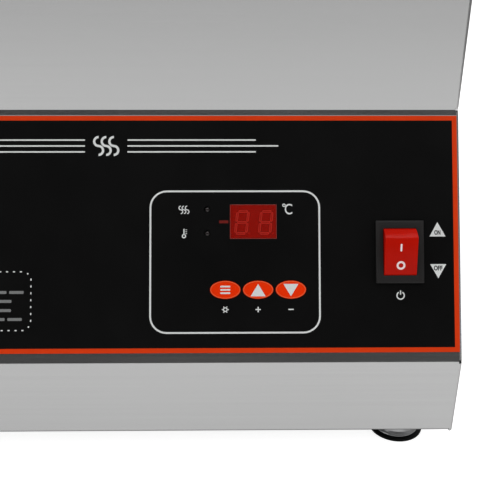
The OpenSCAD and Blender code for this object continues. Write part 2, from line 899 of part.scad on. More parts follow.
module control_overlay() {
    color("black") from_front() difference() {
        on_slope(0, slope_l - overlay_bottom) linear_extrude(overlay_t)
            translate([-half_w + overlay_side, 0])
                square([body_w - 2 * overlay_side, slope_l - overlay_top - overlay_bottom]);
        panel_openings(-over, overlay_t + over);
    }
}

module display_window() {
    color("firebrick") from_front() on_slope(display_u, display_v, -sheet_t)
        linear_extrude(sheet_t + overlay_t) square([display_w, display_h], center = true);
}

module display_module() {
    color("dimgray") from_front() on_slope(display_u, display_v, board_front)
        centred([display_w + 2 * module_margin, display_h + 2 * module_margin, display_depth]);
}

module indicator_lights() {
    color("red") from_front() for (i = [0, 1]) on_slope(led_u, led_v + i * led_pitch, board_front) {
        cylinder(h = led_flange_t, r = led_r + led_flange);
        cylinder(h = -board_front - led_r, r = led_r);
        translate([0, 0, -board_front - led_r]) sphere(r = led_r);
    }
}

module key(i) {
    color("orangered") from_front() on_slope(key_u + i * key_pitch, key_v) {
        translate([0, 0, key_back]) linear_extrude(overlay_t + key_proud - key_back)
            polygon(oval(key_w, key_h));
        translate([0, 0, key_back]) linear_extrude(key_lip_t)
            square([key_w + snug, key_h + 2 * key_lip], center = true);
        translate([0, 0, stem_tip]) cylinder(h = key_back - stem_tip + key_lip_t, r = stem_r);
    }
}

module set_key() { key(-1); }

module up_key() { key(0); }

module down_key() { key(1); }

module key_switches() {
    color("dimgray") from_front() for (i = [-1:1]) on_slope(key_u + i * key_pitch, key_v, board_front)
        difference() {
            centred([key_switch_w, key_switch_w, key_switch_h]);
            translate([0, 0, key_switch_h - stem_dip - 2 * key_travel])
                cylinder(h = key_switch_h, r = stem_r + key_fit);
        }
}

module at_board_corners() {
    reach = [board_w / 2 - board_hole_inset, board_h / 2 - board_hole_inset];
    for (x = [-1, 1], y = [-1, 1]) on_slope(board_u + x * reach.x, board_v + y * reach.y) children();
}

module control_board() {
    color("darkgreen") from_front() difference() {
        on_slope(board_u, board_v, board_front - board_t) centred([board_w, board_h, board_t]);
        at_board_corners() translate([0, 0, board_front - board_t - over])
            cylinder(h = board_t + 2 * over, r = small_screw_r + snug);
    }
}

module board_spacers() {
    color("gold") from_front() at_board_corners() translate([0, 0, board_front]) difference() {
        cylinder(h = -sheet_t - board_front, r = spacer_r);
        translate([0, 0, -over]) cylinder(h = -sheet_t - board_front + 2 * over, r = small_screw_r + snug);
    }
}

module board_screws() {
    color("silver") from_front() {
        at_board_corners() translate([0, 0, board_front - board_t])
            pan_head_screw(small_screw_r, small_head_r, small_head_h, display_depth);
        at_power_corners(power_top_z) mirror([0, 0, 1])
            pan_head_screw(small_screw_r, small_head_r, small_head_h, standoff_h);
    }
}

// Rocker switch

module switch_housing() {
    color("dimgray") from_front() on_slope(switch_u, switch_v) difference() {
        union() {
            translate([0, 0, overlay_t]) centred([bezel_w, bezel_h, bezel_t]);
            translate([0, 0, -housing_d]) centred([housing_w, housing_h, housing_d + overlay_t]);
        }
        translate([0, 0, overlay_t]) centred([rocker_open_w, rocker_open_h, bezel_t + over]);
        translate([0, 0, pivot_w]) intersection() {
            rotate([0, 90, 0]) cylinder(h = rocker_open_w, r = rocker_r + fit, center = true);
            translate([0, 0, -cavity_d - pivot_w])
                centred([rocker_open_w, housing_h, cavity_d + overlay_t + bezel_t + over]);
        }
        translate([0, 0, pivot_w]) rotate([0, 90, 0])
            cylinder(h = rocker_w + 2 * (pin_reach + fit), r = rocker_pin_r + snug, center = true);
    }
}

module switch_rocker() {
    color("red") from_front() on_slope(switch_u, switch_v, pivot_w) rotate([rocker_tilt, 0, 0]) {
        intersection() {
            rotate([0, 90, 0]) cylinder(h = rocker_w, r = rocker_r, center = true);
            translate([0, 0, rocker_skirt]) centred([rocker_w, 2 * rocker_r, rocker_face_h - rocker_skirt]);
        }
        translate([0, 0, -rocker_boss_d])
            centred([rocker_w, rocker_boss_w, rocker_boss_d + 2 * rocker_skirt]);
        rotate([0, 90, 0]) cylinder(h = rocker_w + 2 * pin_reach, r = rocker_pin_r, center = true);
    }
}

module at_terminals() {
    for (x = [-1, 1], y = [-1, 1])
        on_slope(switch_u + x * housing_w * terminal_share, switch_v + y * housing_h * terminal_share,
            -housing_d - terminal_l) children();
}

module switch_terminals() {
    color("gold") from_front() at_terminals() centred([terminal_t, terminal_w, terminal_l]);
}

// Power electrics

module at_power_corners(z) {
    for (x = [-1, 1], y = [-1, 1])
        translate([power_x + x * (power_board_w / 2 - power_inset),
            power_y + y * (power_board_d / 2 - power_inset), z]) children();
}

module power_board() {
    color("darkgreen") from_front() difference() {
        translate([power_x, power_y, floor_z + standoff_h])
            centred([power_board_w, power_board_d, power_board_t]);
        at_power_corners(floor_z + standoff_h - over)
            cylinder(h = power_board_t + 2 * over, r = small_screw_r + snug);
    }
}

module power_board_spacers() {
    color("gold") from_front() at_power_corners(floor_z) difference() {
        cylinder(h = standoff_h, r = spacer_r);
        translate([0, 0, over]) cylinder(h = standoff_h, r = small_screw_r + snug);
    }
}

module transformer() {
    color("slategray") from_front() translate([transformer_x, power_y, power_top_z]) {
        centred(transformer_size);
        translate([0, 0, transformer_core_z]) centred([
            transformer_core_w, transformer_size.y + 2 * transformer_core_out,
            transformer_size.z - 2 * transformer_core_z
        ]);
    }
}

module relays() {
    color("royalblue") from_front() for (side = [-1, 1])
        translate([relay_x, power_y + side * relay_pitch / 2, power_top_z]) centred(relay_size);
}

module at_connector(i) { translate([power_x + i * connector_pitch, connector_y, power_top_z]) children(); }

module board_connectors() {
    color("white") from_front() for (i = [-3:3]) at_connector(i) centred(connector_size);
}

module terminal_block() {
    pole = block_size.x / block_poles;
    color("ivory") from_front() translate([block_x, block_y, floor_z]) difference() {
        centred(block_size);
        for (i = [0:block_poles - 1]) translate([(i - (block_poles - 1) / 2) * pole, 0, block_size.z / 2])
            cylinder(h = block_size.z, r = block_hole_r);
    }
}

module earth_stud() {
    color("goldenrod") from_front() translate([earth_x, earth_y, floor_z]) {
        cylinder(h = earth_h, r = earth_r);
        cylinder(h = 2 * earth_r, r = 2 * earth_r, $fn = hex_sides);
    }
}

// The point on top of board connector i
function connector_top(i) = [power_x + i * connector_pitch, connector_y, power_top_z + connector_size.z];

// The point on the rear face of board connector i, at height z
function connector_back(i, z) = [power_x + i * connector_pitch, connector_y + connector_size.y / 2, z];

// The point on the front face of pole i of the terminal block, at height z
function pole_front(i, z) = [block_x + i * block_size.x / block_poles, block_y - block_size.y / 2, z];

// A place behind switch terminal (x, y), where w is negative inwards
function behind_terminal(x, y, w) = slope_point(
    switch_u + x * housing_w * terminal_share, switch_v + y * housing_h * terminal_share,
    w - housing_d - terminal_l
);

// The insulated socket pushed over switch terminal (x, y)
module terminal_sleeve(x, y) {
    on_slope(switch_u + x * housing_w * terminal_share, switch_v + y * housing_h * terminal_share,
        -housing_d - terminal_l) difference() {
            translate([0, 0, -sleeve_back]) centred([sleeve_w, sleeve_h, sleeve_back + terminal_l - over]);
            centred([terminal_t + 2 * snug, terminal_w + 2 * snug, terminal_l + over]);
        }
}

module mains_leads() {
    live = behind_terminal(-1, 1, -sleeve_back / 2);
    live_y = lead_rear_y + 2 * lead_step;
    live_pole = pole_front(2, lead_low_z);
    switched = behind_terminal(1, -1, -sleeve_back / 2);
    switched_z = power_top_z + connector_size.z / 2;
    neutral_z = lead_low_z + lead_step;
    neutral_pole = pole_front(1, neutral_z);
    color("saddlebrown") from_front() {
        terminal_sleeve(-1, 1);
        lead([
            live, [live.x, live.y, lead_low_z], [live.x, live_y, lead_low_z],
            [live_pole.x, live_y, lead_low_z], live_pole
        ], lead_r);
        terminal_sleeve(1, -1);
        lead([
            switched, [switched.x, switched.y, switched_z],
            [switched.x, lead_rear_y + lead_step, switched_z],
            [connector_back(0, 0).x, lead_rear_y + lead_step, switched_z], connector_back(0, switched_z)
        ], lead_r);
        lead([
            neutral_pole, [neutral_pole.x, lead_rear_y, neutral_z],
            [connector_back(-1, 0).x, lead_rear_y, neutral_z], connector_back(-1, neutral_z)
        ], lead_r);
    }
}

module heater_leads() {
    pin_x = element_pitch * 3 / 2;
    pin_y = tank_front_y - element_out;
    tab_x = cutout_x + cutout_r / 2;
    other_tab_x = cutout_x - cutout_r / 2;
    tab_z = tank_under_z - cutout_h - terminal_l;
    color("firebrick") from_front() {
        lead([
            [-pin_x, pin_y, element_z], [-pin_x, lead_front_y, element_z], [-pin_x, lead_front_y, lead_z],
            [connector_top(-3).x, lead_front_y, lead_z], [connector_top(-3).x, connector_y, lead_z],
            connector_top(-3)
        ], lead_r);
        lead([
            connector_top(-2), [connector_top(-2).x, connector_y, lead_z + lead_step],
            [other_tab_x, connector_y, lead_z + lead_step], [other_tab_x, deck_mid_y, lead_z + lead_step],
            [other_tab_x, deck_mid_y, tab_z]
        ], lead_r);
        lead([
            [tab_x, deck_mid_y, tab_z], [tab_x, deck_mid_y, lead_z + 2 * lead_step],
            [tab_x, lead_front_y, lead_z + 2 * lead_step], [pin_x, lead_front_y, lead_z + 2 * lead_step],
            [pin_x, lead_front_y, element_z], [pin_x, pin_y, element_z]
        ], lead_r);
    }
}

module probe_lead() {
    start_y = tank_front_y - probe_out;
    down_y = start_y - lead_step;
    high = lead_z + 3 * lead_step;
    color("white") from_front() lead([
        [0, start_y, probe_z], [0, down_y, probe_z], [0, down_y, high], [connector_top(3).x, down_y, high],
        [connector_top(3).x, connector_y, high], connector_top(3)
    ], lead_r);
}

module display_lead() {
    plug_w = board_front - board_t - plug_size.z;
    start = slope_point(board_u, key_v, plug_w + plug_size.z / 2);
    low = power_top_z + relay_size.z + lead_step;
    color("gray") from_front() {
        on_slope(board_u, key_v, plug_w) centred(plug_size);
        lead([
            start, [start.x, start.y, low], [connector_top(2).x, start.y, low],
            [connector_top(2).x, connector_y, low], connector_top(2)
        ], lead_r);
    }
}

module earth_lead() {
    color("gold") from_front() rod(
        [earth_x + earth_r + snug, earth_y, lead_low_z],
        [block_x - block_size.x / 2, earth_y, lead_low_z], lead_r
    );
}

// Rear

module at_gland() { translate([gland_x, body_d, body_z + gland_z]) rotate([-90, 0, 0]) children(); }

module cable_gland() {
    color("black") from_front() at_gland() difference() {
        union() {
            translate([0, 0, -sheet_t - gland_in])
                cylinder(h = gland_in + sheet_t + gland_hex_h, r = gland_thread_r);
            cylinder(h = gland_hex_h, r = gland_hex_r, $fn = hex_sides);
            translate([0, 0, gland_hex_h])
                cylinder(h = gland_out - gland_hex_h, r1 = gland_hex_r - sheet_t, r2 = gland_thread_r);
        }
        translate([0, 0, -sheet_t - gland_in - over])
            cylinder(h = gland_in + sheet_t + gland_out + 2 * over, r = gland_seal_r + snug);
    }
}

module gland_seal() {
    color("dimgray") from_front() at_gland() difference() {
        translate([0, 0, -sheet_t]) cylinder(h = gland_out + sheet_t, r = gland_seal_r);
        translate([0, 0, -sheet_t - over]) cylinder(h = gland_out + sheet_t + 2 * over, r = cord_r);
    }
}

module gland_nut() {
    color("black") from_front() at_gland() translate([0, 0, -sheet_t - gland_nut_h]) difference() {
        cylinder(h = gland_nut_h, r = gland_hex_r, $fn = hex_sides);
        translate([0, 0, -over]) cylinder(h = gland_nut_h + 2 * over, r = gland_thread_r + snug);
    }
}

// Feet

module foot_rubbers() {
    color("black") from_front() at_feet() rotate_extrude() polygon([
        [foot_head_r + fit, 0], [foot_r, 0],
        [foot_r, foot_pad_h - pad_chamfer], [foot_r - pad_chamfer, foot_pad_h], [core_r, foot_pad_h],
        [core_r, foot_top_z - cup_t], [foot_screw_r + snug, foot_top_z - cup_t],
        [foot_screw_r + snug, head_seat_z], [foot_head_r + fit, head_seat_z]
    ]);
}

module foot_cups() {
    color("silver") from_front() at_feet() rotate_extrude() polygon([
        [cup_r, foot_pad_h], [cup_r, foot_pad_h + cup_lip_h], [cup_r - cup_t, foot_pad_h + 2 * cup_lip_h],
        [cup_top_r, foot_top_z], [foot_screw_r + snug, foot_top_z],
        [foot_screw_r + snug, foot_top_z - cup_t], [cup_top_r - cup_t, foot_top_z - cup_t],
        [cup_r - 2 * cup_t, foot_pad_h + 2 * cup_lip_h],
        [cup_r - cup_t, foot_pad_h]
    ]);
}

module foot_screws() {
    color("silver") from_front() at_feet() translate([0, 0, head_seat_z])
        pan_head_screw(foot_screw_r, foot_head_r, foot_head_h, floor_z + foot_nut_h + over - head_seat_z);
}

module foot_nuts() {
    color("silver") from_front() at_feet() translate([0, 0, floor_z]) difference() {
        cylinder(h = foot_nut_h, r = foot_nut_r, $fn = hex_sides);
        translate([0, 0, -over]) cylinder(h = foot_nut_h + 2 * over, r = foot_screw_r + snug);
    }
}

front_panel();
left_side_panel();
right_side_panel();
rear_panel();
bottom_plate();
top_deck();
rear_screws();
bottom_screws();
water_tank();
tank_insulation();
heating_element();
element_nuts();
element_gaskets();
element_clips();
temperature_probe();
probe_nut();
overheat_cutout();
cutout_bracket();
left_pan();
right_pan();
left_lid();
right_lid();
left_lid_knob();
right_lid_knob();
left_knob_screw();
right_knob_screw();
control_overlay();
display_window();
display_module();
indicator_lights();
set_key();
up_key();
down_key();
key_switches();
control_board();
board_spacers();
board_screws();
switch_housing();
switch_rocker();
switch_terminals();
power_board();
power_board_spacers();
transformer();
relays();
board_connectors();
terminal_block();
earth_stud();
mains_leads();
heater_leads();
probe_lead();
display_lead();
earth_lead();
cable_gland();
gland_seal();
gland_nut();
foot_rubbers();
foot_cups();
foot_screws();
foot_nuts();
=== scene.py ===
"""Looks, stage, lamps and camera for an electric chocolate melting pot.

Sizes are in millimetres, and become metres where a mesh is made. Those of the
studio are in metres. On the sloping control panel u runs across from the
machine's middle, v down the slope from its upper bend, and w out of the sheet.
"""

from __future__ import annotations

import logging
import math
from dataclasses import dataclass, field
from enum import Enum
from typing import Protocol, Sequence

import bmesh
import bpy
from bmesh.types import BMEdge, BMesh, BMFace, BMVert
from mathutils import Matrix, Vector

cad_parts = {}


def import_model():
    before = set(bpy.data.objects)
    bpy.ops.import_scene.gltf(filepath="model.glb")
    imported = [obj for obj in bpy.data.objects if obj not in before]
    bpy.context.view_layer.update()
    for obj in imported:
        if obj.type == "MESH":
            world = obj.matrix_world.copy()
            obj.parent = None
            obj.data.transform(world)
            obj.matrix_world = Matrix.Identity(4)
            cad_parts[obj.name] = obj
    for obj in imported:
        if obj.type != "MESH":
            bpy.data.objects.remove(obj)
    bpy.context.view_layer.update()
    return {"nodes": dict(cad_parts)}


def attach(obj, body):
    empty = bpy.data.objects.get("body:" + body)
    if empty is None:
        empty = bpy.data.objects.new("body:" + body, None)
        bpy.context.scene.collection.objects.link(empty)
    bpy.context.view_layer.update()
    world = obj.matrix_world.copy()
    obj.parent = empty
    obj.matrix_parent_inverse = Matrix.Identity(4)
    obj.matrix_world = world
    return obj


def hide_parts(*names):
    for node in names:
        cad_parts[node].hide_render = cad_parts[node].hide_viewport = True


LOG = logging.getLogger("melting_pot")
MM = 0.001
WHITE = (1.0, 1.0, 1.0, 1.0)
CENTRE = (0.0, 0.0)
IN_PLACE = Matrix.Identity(4)
SOFT_TURN = 28.0
Socket = bpy.types.NodeSocket
Triple = tuple[float, float, float]
Point = tuple[float, float]


def linear(value: int) -> float:
    """Turn one channel of a screen colour, 0 to 255, into its linear value."""
    share = value / 255
    return share / 12.92 if share <= 0.04045 else ((share + 0.055) / 1.055) ** 2.4


def srgb(red: int, green: int, blue: int) -> Triple:
    """Turn a screen colour into the linear colour that a shader takes."""
    return (linear(red), linear(green), linear(blue))


def even(value: float) -> Triple:
    """Give a grey, or a scale that is the same on each axis."""
    return (value, value, value)


def shade(colour: Triple, factor: float) -> Triple:
    """Make a colour lighter or darker by a factor."""
    return tuple(min(1.0, channel * factor) for channel in colour)


class Effect(Enum):
    """The effects that more than one material uses."""

    LINES = "brushed_lines"
    MOTTLE = "soft_mottle"
    PORES = "moulded_pores"


# A fine and a wide noise, each with its scale, detail and roughness, then the
# fine one's share and the two values that are spread to 0 and 1.
NOISES = {
    Effect.LINES: ((1.0, 4.0, 0.65), (0.13, 2.0, 0.5), 0.65, (0.32, 0.68)),
    Effect.MOTTLE: ((1.0, 3.0, 0.5), (0.3, 1.0, 0.4), 0.5, (0.3, 0.7)),
}


class Nodes:
    """A node tree with short ways to add nodes and join them."""

    def __init__(self, tree: bpy.types.NodeTree) -> None:
        """Keep the tree."""
        self.tree = tree

    def feed(self, socket: Socket, value: object) -> None:
        """Set an input, or join it to an output.

        Args:
            socket: The input.
            value: A number, a colour or an output socket.
        """
        if isinstance(value, Socket):
            self.tree.links.new(value, socket)
        else:
            socket.default_value = value

    def set(self, node: bpy.types.Node, **values: object) -> bpy.types.Node:
        """Set a node's properties and inputs.

        Args:
            node: The node.
            values: Property names in lower case, or input names with _ for a space.

        Returns:
            The node.
        """
        for key, value in values.items():
            if key[0].islower():
                setattr(node, key, value)
            else:
                self.feed(node.inputs[key.replace("_", " ")], value)
        return node

    def add(self, kind: str, **values: object) -> bpy.types.Node:
        """Add a node, by its type name without ShaderNode, and set it as set() does."""
        prefix = "" if kind.startswith("Node") else "ShaderNode"
        return self.set(self.tree.nodes.new(prefix + kind), **values)

    def result(self, kind: str, *inputs: object, **values: object) -> Socket:
        """Add a node and give its first output.

        Args:
            kind: The node's type name, as add() takes it.
            inputs: Its first inputs in order, each a value or an output socket.
            values: Properties and named inputs, as set() takes them.

        Returns:
            The first output.
        """
        node = self.add(kind, **values)
        for socket, value in zip(node.inputs, inputs):
            self.feed(socket, value)
        return node.outputs[0]

    def math(self, operation: str, *inputs: object) -> Socket:
        """Join numbers or output sockets with a Math node."""
        return self.result("Math", *inputs, operation=operation)

    def weighted(self, first: Socket, second: Socket, share: float) -> Socket:
        """Add two values, the first with a share of 1 and the second with the rest."""
        return self.math("ADD", self.math("MULTIPLY", first, share), self.math("MULTIPLY", second, 1 - share))

    def between(self, value: Socket, low: float, high: float) -> Socket:
        """Spread a value from 0 to 1 over another range."""
        return self.result("MapRange", Value=value, To_Min=low, To_Max=high)

    def effect(self, effect: Effect, scale: Triple) -> Socket:
        """Put an effect on Object coordinates, with its repeats for each metre along x, y and z."""
        place = self.add("TexCoord").outputs["Object"]
        return self.result("Group", node_tree=effect_group(effect), Vector=place, Scale=scale)


def effect_group(effect: Effect) -> bpy.types.NodeTree:
    """Build an effect's node group once, and give it back after that.

    Args:
        effect: The effect wanted.

    Returns:
        The group, with a Vector and a Scale input and a Value output.
    """
    found = bpy.data.node_groups.get(effect.value)
    if found:
        return found
    group = bpy.data.node_groups.new(effect.value, "ShaderNodeTree")
    group.interface.new_socket("Vector", in_out="INPUT", socket_type="NodeSocketVector")
    group.interface.new_socket("Scale", in_out="INPUT", socket_type="NodeSocketVector")
    group.interface.new_socket("Value", in_out="OUTPUT", socket_type="NodeSocketFloat")
    nodes = Nodes(group)
    start = nodes.add("NodeGroupInput").outputs
    end = nodes.add("NodeGroupOutput")
    place = nodes.result("VectorMath", start["Vector"], start["Scale"], operation="MULTIPLY")
    if effect is Effect.PORES:
        cells = nodes.result("TexVoronoi", feature="SMOOTH_F1", Vector=place, Scale=1.0)
        grain = nodes.result("TexNoise", Vector=place, Scale=1.7, Detail=2.0)
        mixed, ends = nodes.math("MULTIPLY", cells, grain), (0.05, 0.45)
    else:
        fine, wide, share, ends = NOISES[effect]
        noises = [nodes.result("TexNoise", Vector=place, Scale=scale, Detail=detail, Roughness=roughness)
                  for scale, detail, roughness in (fine, wide)]
        mixed = nodes.weighted(*noises, share)
    spread = nodes.result("MapRange", Value=mixed, From_Min=ends[0], From_Max=ends[1])
    nodes.feed(end.inputs["Value"], spread)
    return group


class Surface(Nodes):
    """A new material with one Principled shader."""

    def __init__(self, name: str, **values: object) -> None:
        """Start the material.

        Args:
            name: Its name.
            values: The shader's inputs that are the same all over.
        """
        self.material = bpy.data.materials.new(name)
        self.material.use_nodes = True
        super().__init__(self.material.node_tree)
        self.shader = self.set(self.tree.nodes["Principled BSDF"], **values)

    def tint(self, mask: Socket, colour: Triple, low: float, high: float) -> None:
        """Let the colour change over the surface.

        Args:
            mask: The pattern, 0 to 1.
            colour: The colour, linear.
            low: Its factor where the pattern is 0.
            high: Its factor where the pattern is 1.
        """
        mix = self.add("Mix", data_type="RGBA")
        for index, value in ((0, mask), (6, (*shade(colour, low), 1.0)), (7, (*shade(colour, high), 1.0))):
            self.feed(mix.inputs[index], value)
        self.set(self.shader, Base_Color=mix.outputs[2])

    def rough(self, mask: Socket, low: float, high: float) -> None:
        """Let the roughness follow a pattern from 0 to 1."""
        self.set(self.shader, Roughness=self.between(mask, low, high))

    def relief(self, height: Socket, strength: float, depth: float) -> None:
        """Give the surface a fine relief of this strength and depth."""
        bump = self.result("Bump", Height=height, Strength=strength, Distance=depth * MM)
        self.set(self.shader, Normal=bump)


class Finish(Protocol):
    """Anything that can be made into a material."""

    name: str

    def build(self) -> bpy.types.Material:
        """Make the material."""


@dataclass(frozen=True)
class BrushedSteel:
    """Stainless sheet with fine brushed lines and soft smudges."""

    name: str
    colour: Triple = (0.46, 0.46, 0.46)
    roughness: float = 0.21
    grazing: float = 0.2
    lines: Triple = (6.0, 6.0, 2600.0)
    contrast: float = 0.05
    smudge: float = 0.03

    def build(self) -> bpy.types.Material:
        """Make the material.

        Returns:
            The material.
        """
        made = Surface(self.name, Metallic=1.0, Specular_Tint=(*even(self.grazing), 1.0))
        lines = made.effect(Effect.LINES, self.lines)
        smudges = made.effect(Effect.MOTTLE, even(14.0))
        made.tint(made.weighted(lines, smudges, 0.7), self.colour, 1 - self.contrast, 1 + self.contrast)
        rough = made.math("ADD", made.between(smudges, -self.smudge, self.smudge),
                          made.between(lines, self.roughness - 0.04, self.roughness + 0.04))
        made.set(made.shader, Roughness=rough)
        made.relief(lines, 0.05, 0.02)
        return made.material


@dataclass(frozen=True)
class PlainMetal:
    """Rolled, turned or plated metal with faint blotches."""

    name: str
    colour: Triple
    roughness: float = 0.32
    grain: float = 180.0
    contrast: float = 0.1
    grazing: float = 0.5

    def build(self) -> bpy.types.Material:
        """Make the material.

        Returns:
            The material.
        """
        made = Surface(self.name, Metallic=1.0, Specular_Tint=(*even(self.grazing), 1.0))
        blotch = made.effect(Effect.MOTTLE, even(self.grain))
        made.tint(blotch, self.colour, 1 - self.contrast, 1 + self.contrast)
        made.rough(blotch, self.roughness - 0.06, self.roughness + 0.06)
        made.relief(made.effect(Effect.PORES, even(self.grain * 9)), 0.1, 0.02)
        return made.material


@dataclass(frozen=True)
class Plastic:
    """Moulded plastic or rubber, with a fine skin and slight colour changes."""

    name: str
    colour: Triple
    roughness: float = 0.4
    grain: float = 1500.0
    skin: float = 0.2
    contrast: float = 0.05
    coat: float = 0.0
    specular: float = 0.5

    def build(self) -> bpy.types.Material:
        """Make the material.

        Returns:
            The material.
        """
        made = Surface(self.name, Specular_IOR_Level=self.specular, Coat_Weight=self.coat,
                       Coat_Roughness=0.06)
        blotch = made.effect(Effect.MOTTLE, even(60.0))
        made.tint(blotch, self.colour, 1 - self.contrast, 1 + self.contrast)
        made.rough(blotch, self.roughness - 0.03, self.roughness + 0.05)
        made.relief(made.effect(Effect.PORES, even(self.grain)), self.skin, 0.03)
        return made.material


@dataclass(frozen=True)
class Ink:
    """Screen-printed ink on the control panel's film, also the paint of a painted highlight on the film's
    edge.
    """

    name: str
    colour: Triple
    roughness: float = 0.42

    def build(self) -> bpy.types.Material:
        """Make the material.

        Returns:
            The material.
        """
        made = Surface(self.name, Specular_IOR_Level=0.12)
        tone = made.effect(Effect.MOTTLE, even(220.0))
        made.tint(tone, self.colour, 0.96, 1.04)
        made.rough(tone, self.roughness - 0.03, self.roughness + 0.03)
        made.relief(made.effect(Effect.PORES, even(5200.0)), 0.08, 0.01)
        return made.material


@dataclass(frozen=True)
class TintedWindow:
    """A clear plastic window tinted one colour, see-through but deep."""

    name: str
    colour: Triple
    alpha: float = 0.8
    roughness: float = 0.14

    def build(self) -> bpy.types.Material:
        """Make the material.

        Returns:
            The material.
        """
        made = Surface(self.name, Specular_IOR_Level=0.15)
        tone = made.effect(Effect.MOTTLE, even(150.0))
        made.tint(tone, self.colour, 0.95, 1.05)
        made.set(made.shader, Alpha=made.between(tone, self.alpha - 0.015, self.alpha + 0.015))
        made.rough(tone, self.roughness - 0.02, self.roughness + 0.02)
        return made.material


@dataclass(frozen=True)
class Fleece:
    """A mineral-wool mat with tangled fibres."""

    name: str
    colour: Triple

    def build(self) -> bpy.types.Material:
        """Make the material.

        Returns:
            The material.
        """
        made = Surface(self.name, Sheen_Weight=0.3)
        mixed = made.math("MULTIPLY", made.effect(Effect.LINES, (900.0, 240.0, 900.0)),
                          made.effect(Effect.MOTTLE, even(110.0)))
        made.tint(mixed, self.colour, 0.6, 1.0)
        made.rough(mixed, 0.8, 1.0)
        made.relief(mixed, 0.6, 0.8)
        return made.material


CABINET_STEEL = BrushedSteel("cabinet_steel")
SIDE_STEEL = BrushedSteel("side_steel")
DECK_STEEL = BrushedSteel("deck_steel", lines=(6.0, 2600.0, 2600.0))
PAN_STEEL = BrushedSteel("pan_steel", (0.56, 0.56, 0.555), 0.24, lines=(60.0, 60.0, 900.0))
LID_STEEL = BrushedSteel("lid_steel", (0.54, 0.54, 0.535), 0.22, lines=(1500.0, 10.0, 60.0))
PLAIN_STEEL = PlainMetal("plain_steel", (0.5, 0.505, 0.51), grain=60.0)
SCREW_STEEL = PlainMetal("screw_steel", (0.5, 0.5, 0.51), 0.26)
CUP_STEEL = PlainMetal("cup_steel", (0.42, 0.42, 0.425), 0.3, 90.0, 0.06)
ELEMENT_STEEL = PlainMetal("element_steel", (0.14, 0.135, 0.13), 0.42, 120.0, 0.25)
BRASS = PlainMetal("brass", (0.65, 0.43, 0.16), 0.3)
BLACK_FILM = Plastic("black_film", srgb(10, 10, 10), 0.34, 2600.0, 0.05, 0.1, specular=0.12)
BLACK_PLASTIC = Plastic("black_plastic", srgb(24, 24, 24), 0.42)
KNOB_PLASTIC = Plastic("knob_plastic", srgb(20, 20, 20), 0.3, 900.0, 0.06, 0.1, 0.15)
SWITCH_PLASTIC = Plastic("switch_plastic", srgb(33, 32, 32), 0.4, 1800.0, 0.12, specular=0.25)
ROCKER_PLASTIC = Plastic("rocker_plastic", srgb(186, 18, 3), 0.24, 700.0, 0.03, 0.08, specular=0.08)
KEY_PLASTIC = Plastic("key_plastic", srgb(228, 48, 0), 0.36, 2200.0, 0.05, 0.05, specular=0.08)
# Paler orange for the band round each key cap's top: a painted highlight of its edge.
KEY_EDGE_HIGHLIGHT = Plastic("key_edge_highlight", srgb(224, 96, 54), 0.4, 2200.0, 0.05, 0.05, specular=0.15)
MARK_PLASTIC = Plastic("mark_plastic", srgb(248, 226, 224), 0.35, 1200.0, 0.04)
LIGHT_LENS = Plastic("light_lens", srgb(34, 27, 27), 0.18, 900.0, 0.02, 0.1, 0.3)
RUBBER = Plastic("rubber", srgb(8, 8, 8), 0.5, 1200.0, 0.3, 0.15, specular=0.2)
SILICONE = Plastic("silicone", srgb(150, 40, 28), 0.5)
BOARD_GREEN = Plastic("board_green", srgb(20, 84, 48), 0.32, 700.0, 0.2, 0.18)
CORE_GREY = PlainMetal("core_grey", (0.2, 0.21, 0.23), 0.4, 300.0, 0.2)
RELAY_BLUE = Plastic("relay_blue", srgb(40, 84, 170), 0.36)
WHITE_PLASTIC = Plastic("white_plastic", srgb(226, 222, 212), 0.4)
LEAD_BROWN = Plastic("lead_brown", srgb(110, 66, 38), 0.45)
LEAD_RED = Plastic("lead_red", srgb(170, 34, 26), 0.45)
LEAD_WHITE = Plastic("lead_white", srgb(224, 224, 220), 0.45)
LEAD_GREY = Plastic("lead_grey", srgb(128, 128, 128), 0.45)
LEAD_GREEN = Plastic("lead_green", srgb(70, 140, 54), 0.45)
WOOL = Fleece("wool", srgb(206, 190, 146))
ORANGE_INK = Ink("orange_ink", srgb(208, 56, 10))
WHITE_INK = Ink("white_ink", srgb(212, 214, 213))
GREY_INK = Ink("grey_ink", srgb(118, 119, 119))
# A light grey line for the film's top edge: a painted highlight of its cut edge.
FILM_EDGE_HIGHLIGHT = Ink("film_edge_highlight_paint", srgb(150, 150, 150))
BLACK_INK = Ink("black_ink", srgb(22, 22, 22))
DARK_RED_INK = Ink("dark_red_ink", srgb(104, 28, 24))
WINDOW_RED = TintedWindow("window_red", srgb(170, 24, 15), 0.5)
# Paler greyish red for the window pane's bevelled rim: a painted highlight of its edge.
WINDOW_EDGE_HIGHLIGHT = Plastic("window_edge_highlight", srgb(128, 62, 58), 0.5, specular=0.2)
MODULE_FACE = Plastic("module_face", srgb(84, 14, 10), 0.5, specular=0.1)
SEGMENT_FACE = Plastic("segment_face", srgb(140, 30, 22), 0.5, specular=0.1)
SEGMENT_EDGE = Plastic("segment_edge", srgb(222, 84, 72), 0.5, specular=0.1)


def new_object(name: str, data: bpy.types.ID) -> bpy.types.Object:
    """Make an object and link it to the scene.

    Args:
        name: The object's name.
        data: Its mesh, curve, lamp or camera.

    Returns:
        The object.
    """
    made = bpy.data.objects.new(name, data)
    bpy.context.scene.collection.objects.link(made)
    return made


def mesh_object(bm: BMesh, name: str, materials: Sequence[bpy.types.Material]) -> bpy.types.Object:
    """Make a mesh into an object.

    Args:
        bm: The mesh, freed here.
        name: The object's name.
        materials: Its materials, by material index.

    Returns:
        The object.
    """
    mesh = bpy.data.meshes.new(name)
    bm.to_mesh(mesh)
    bm.free()
    for material in materials:
        mesh.materials.append(material)
    return new_object(name, mesh)


def vertices(made: dict[str, list]) -> list[BMVert]:
    """Give the vertices among what an operator made."""
    return [part for part in made["geom"] if isinstance(part, BMVert)]


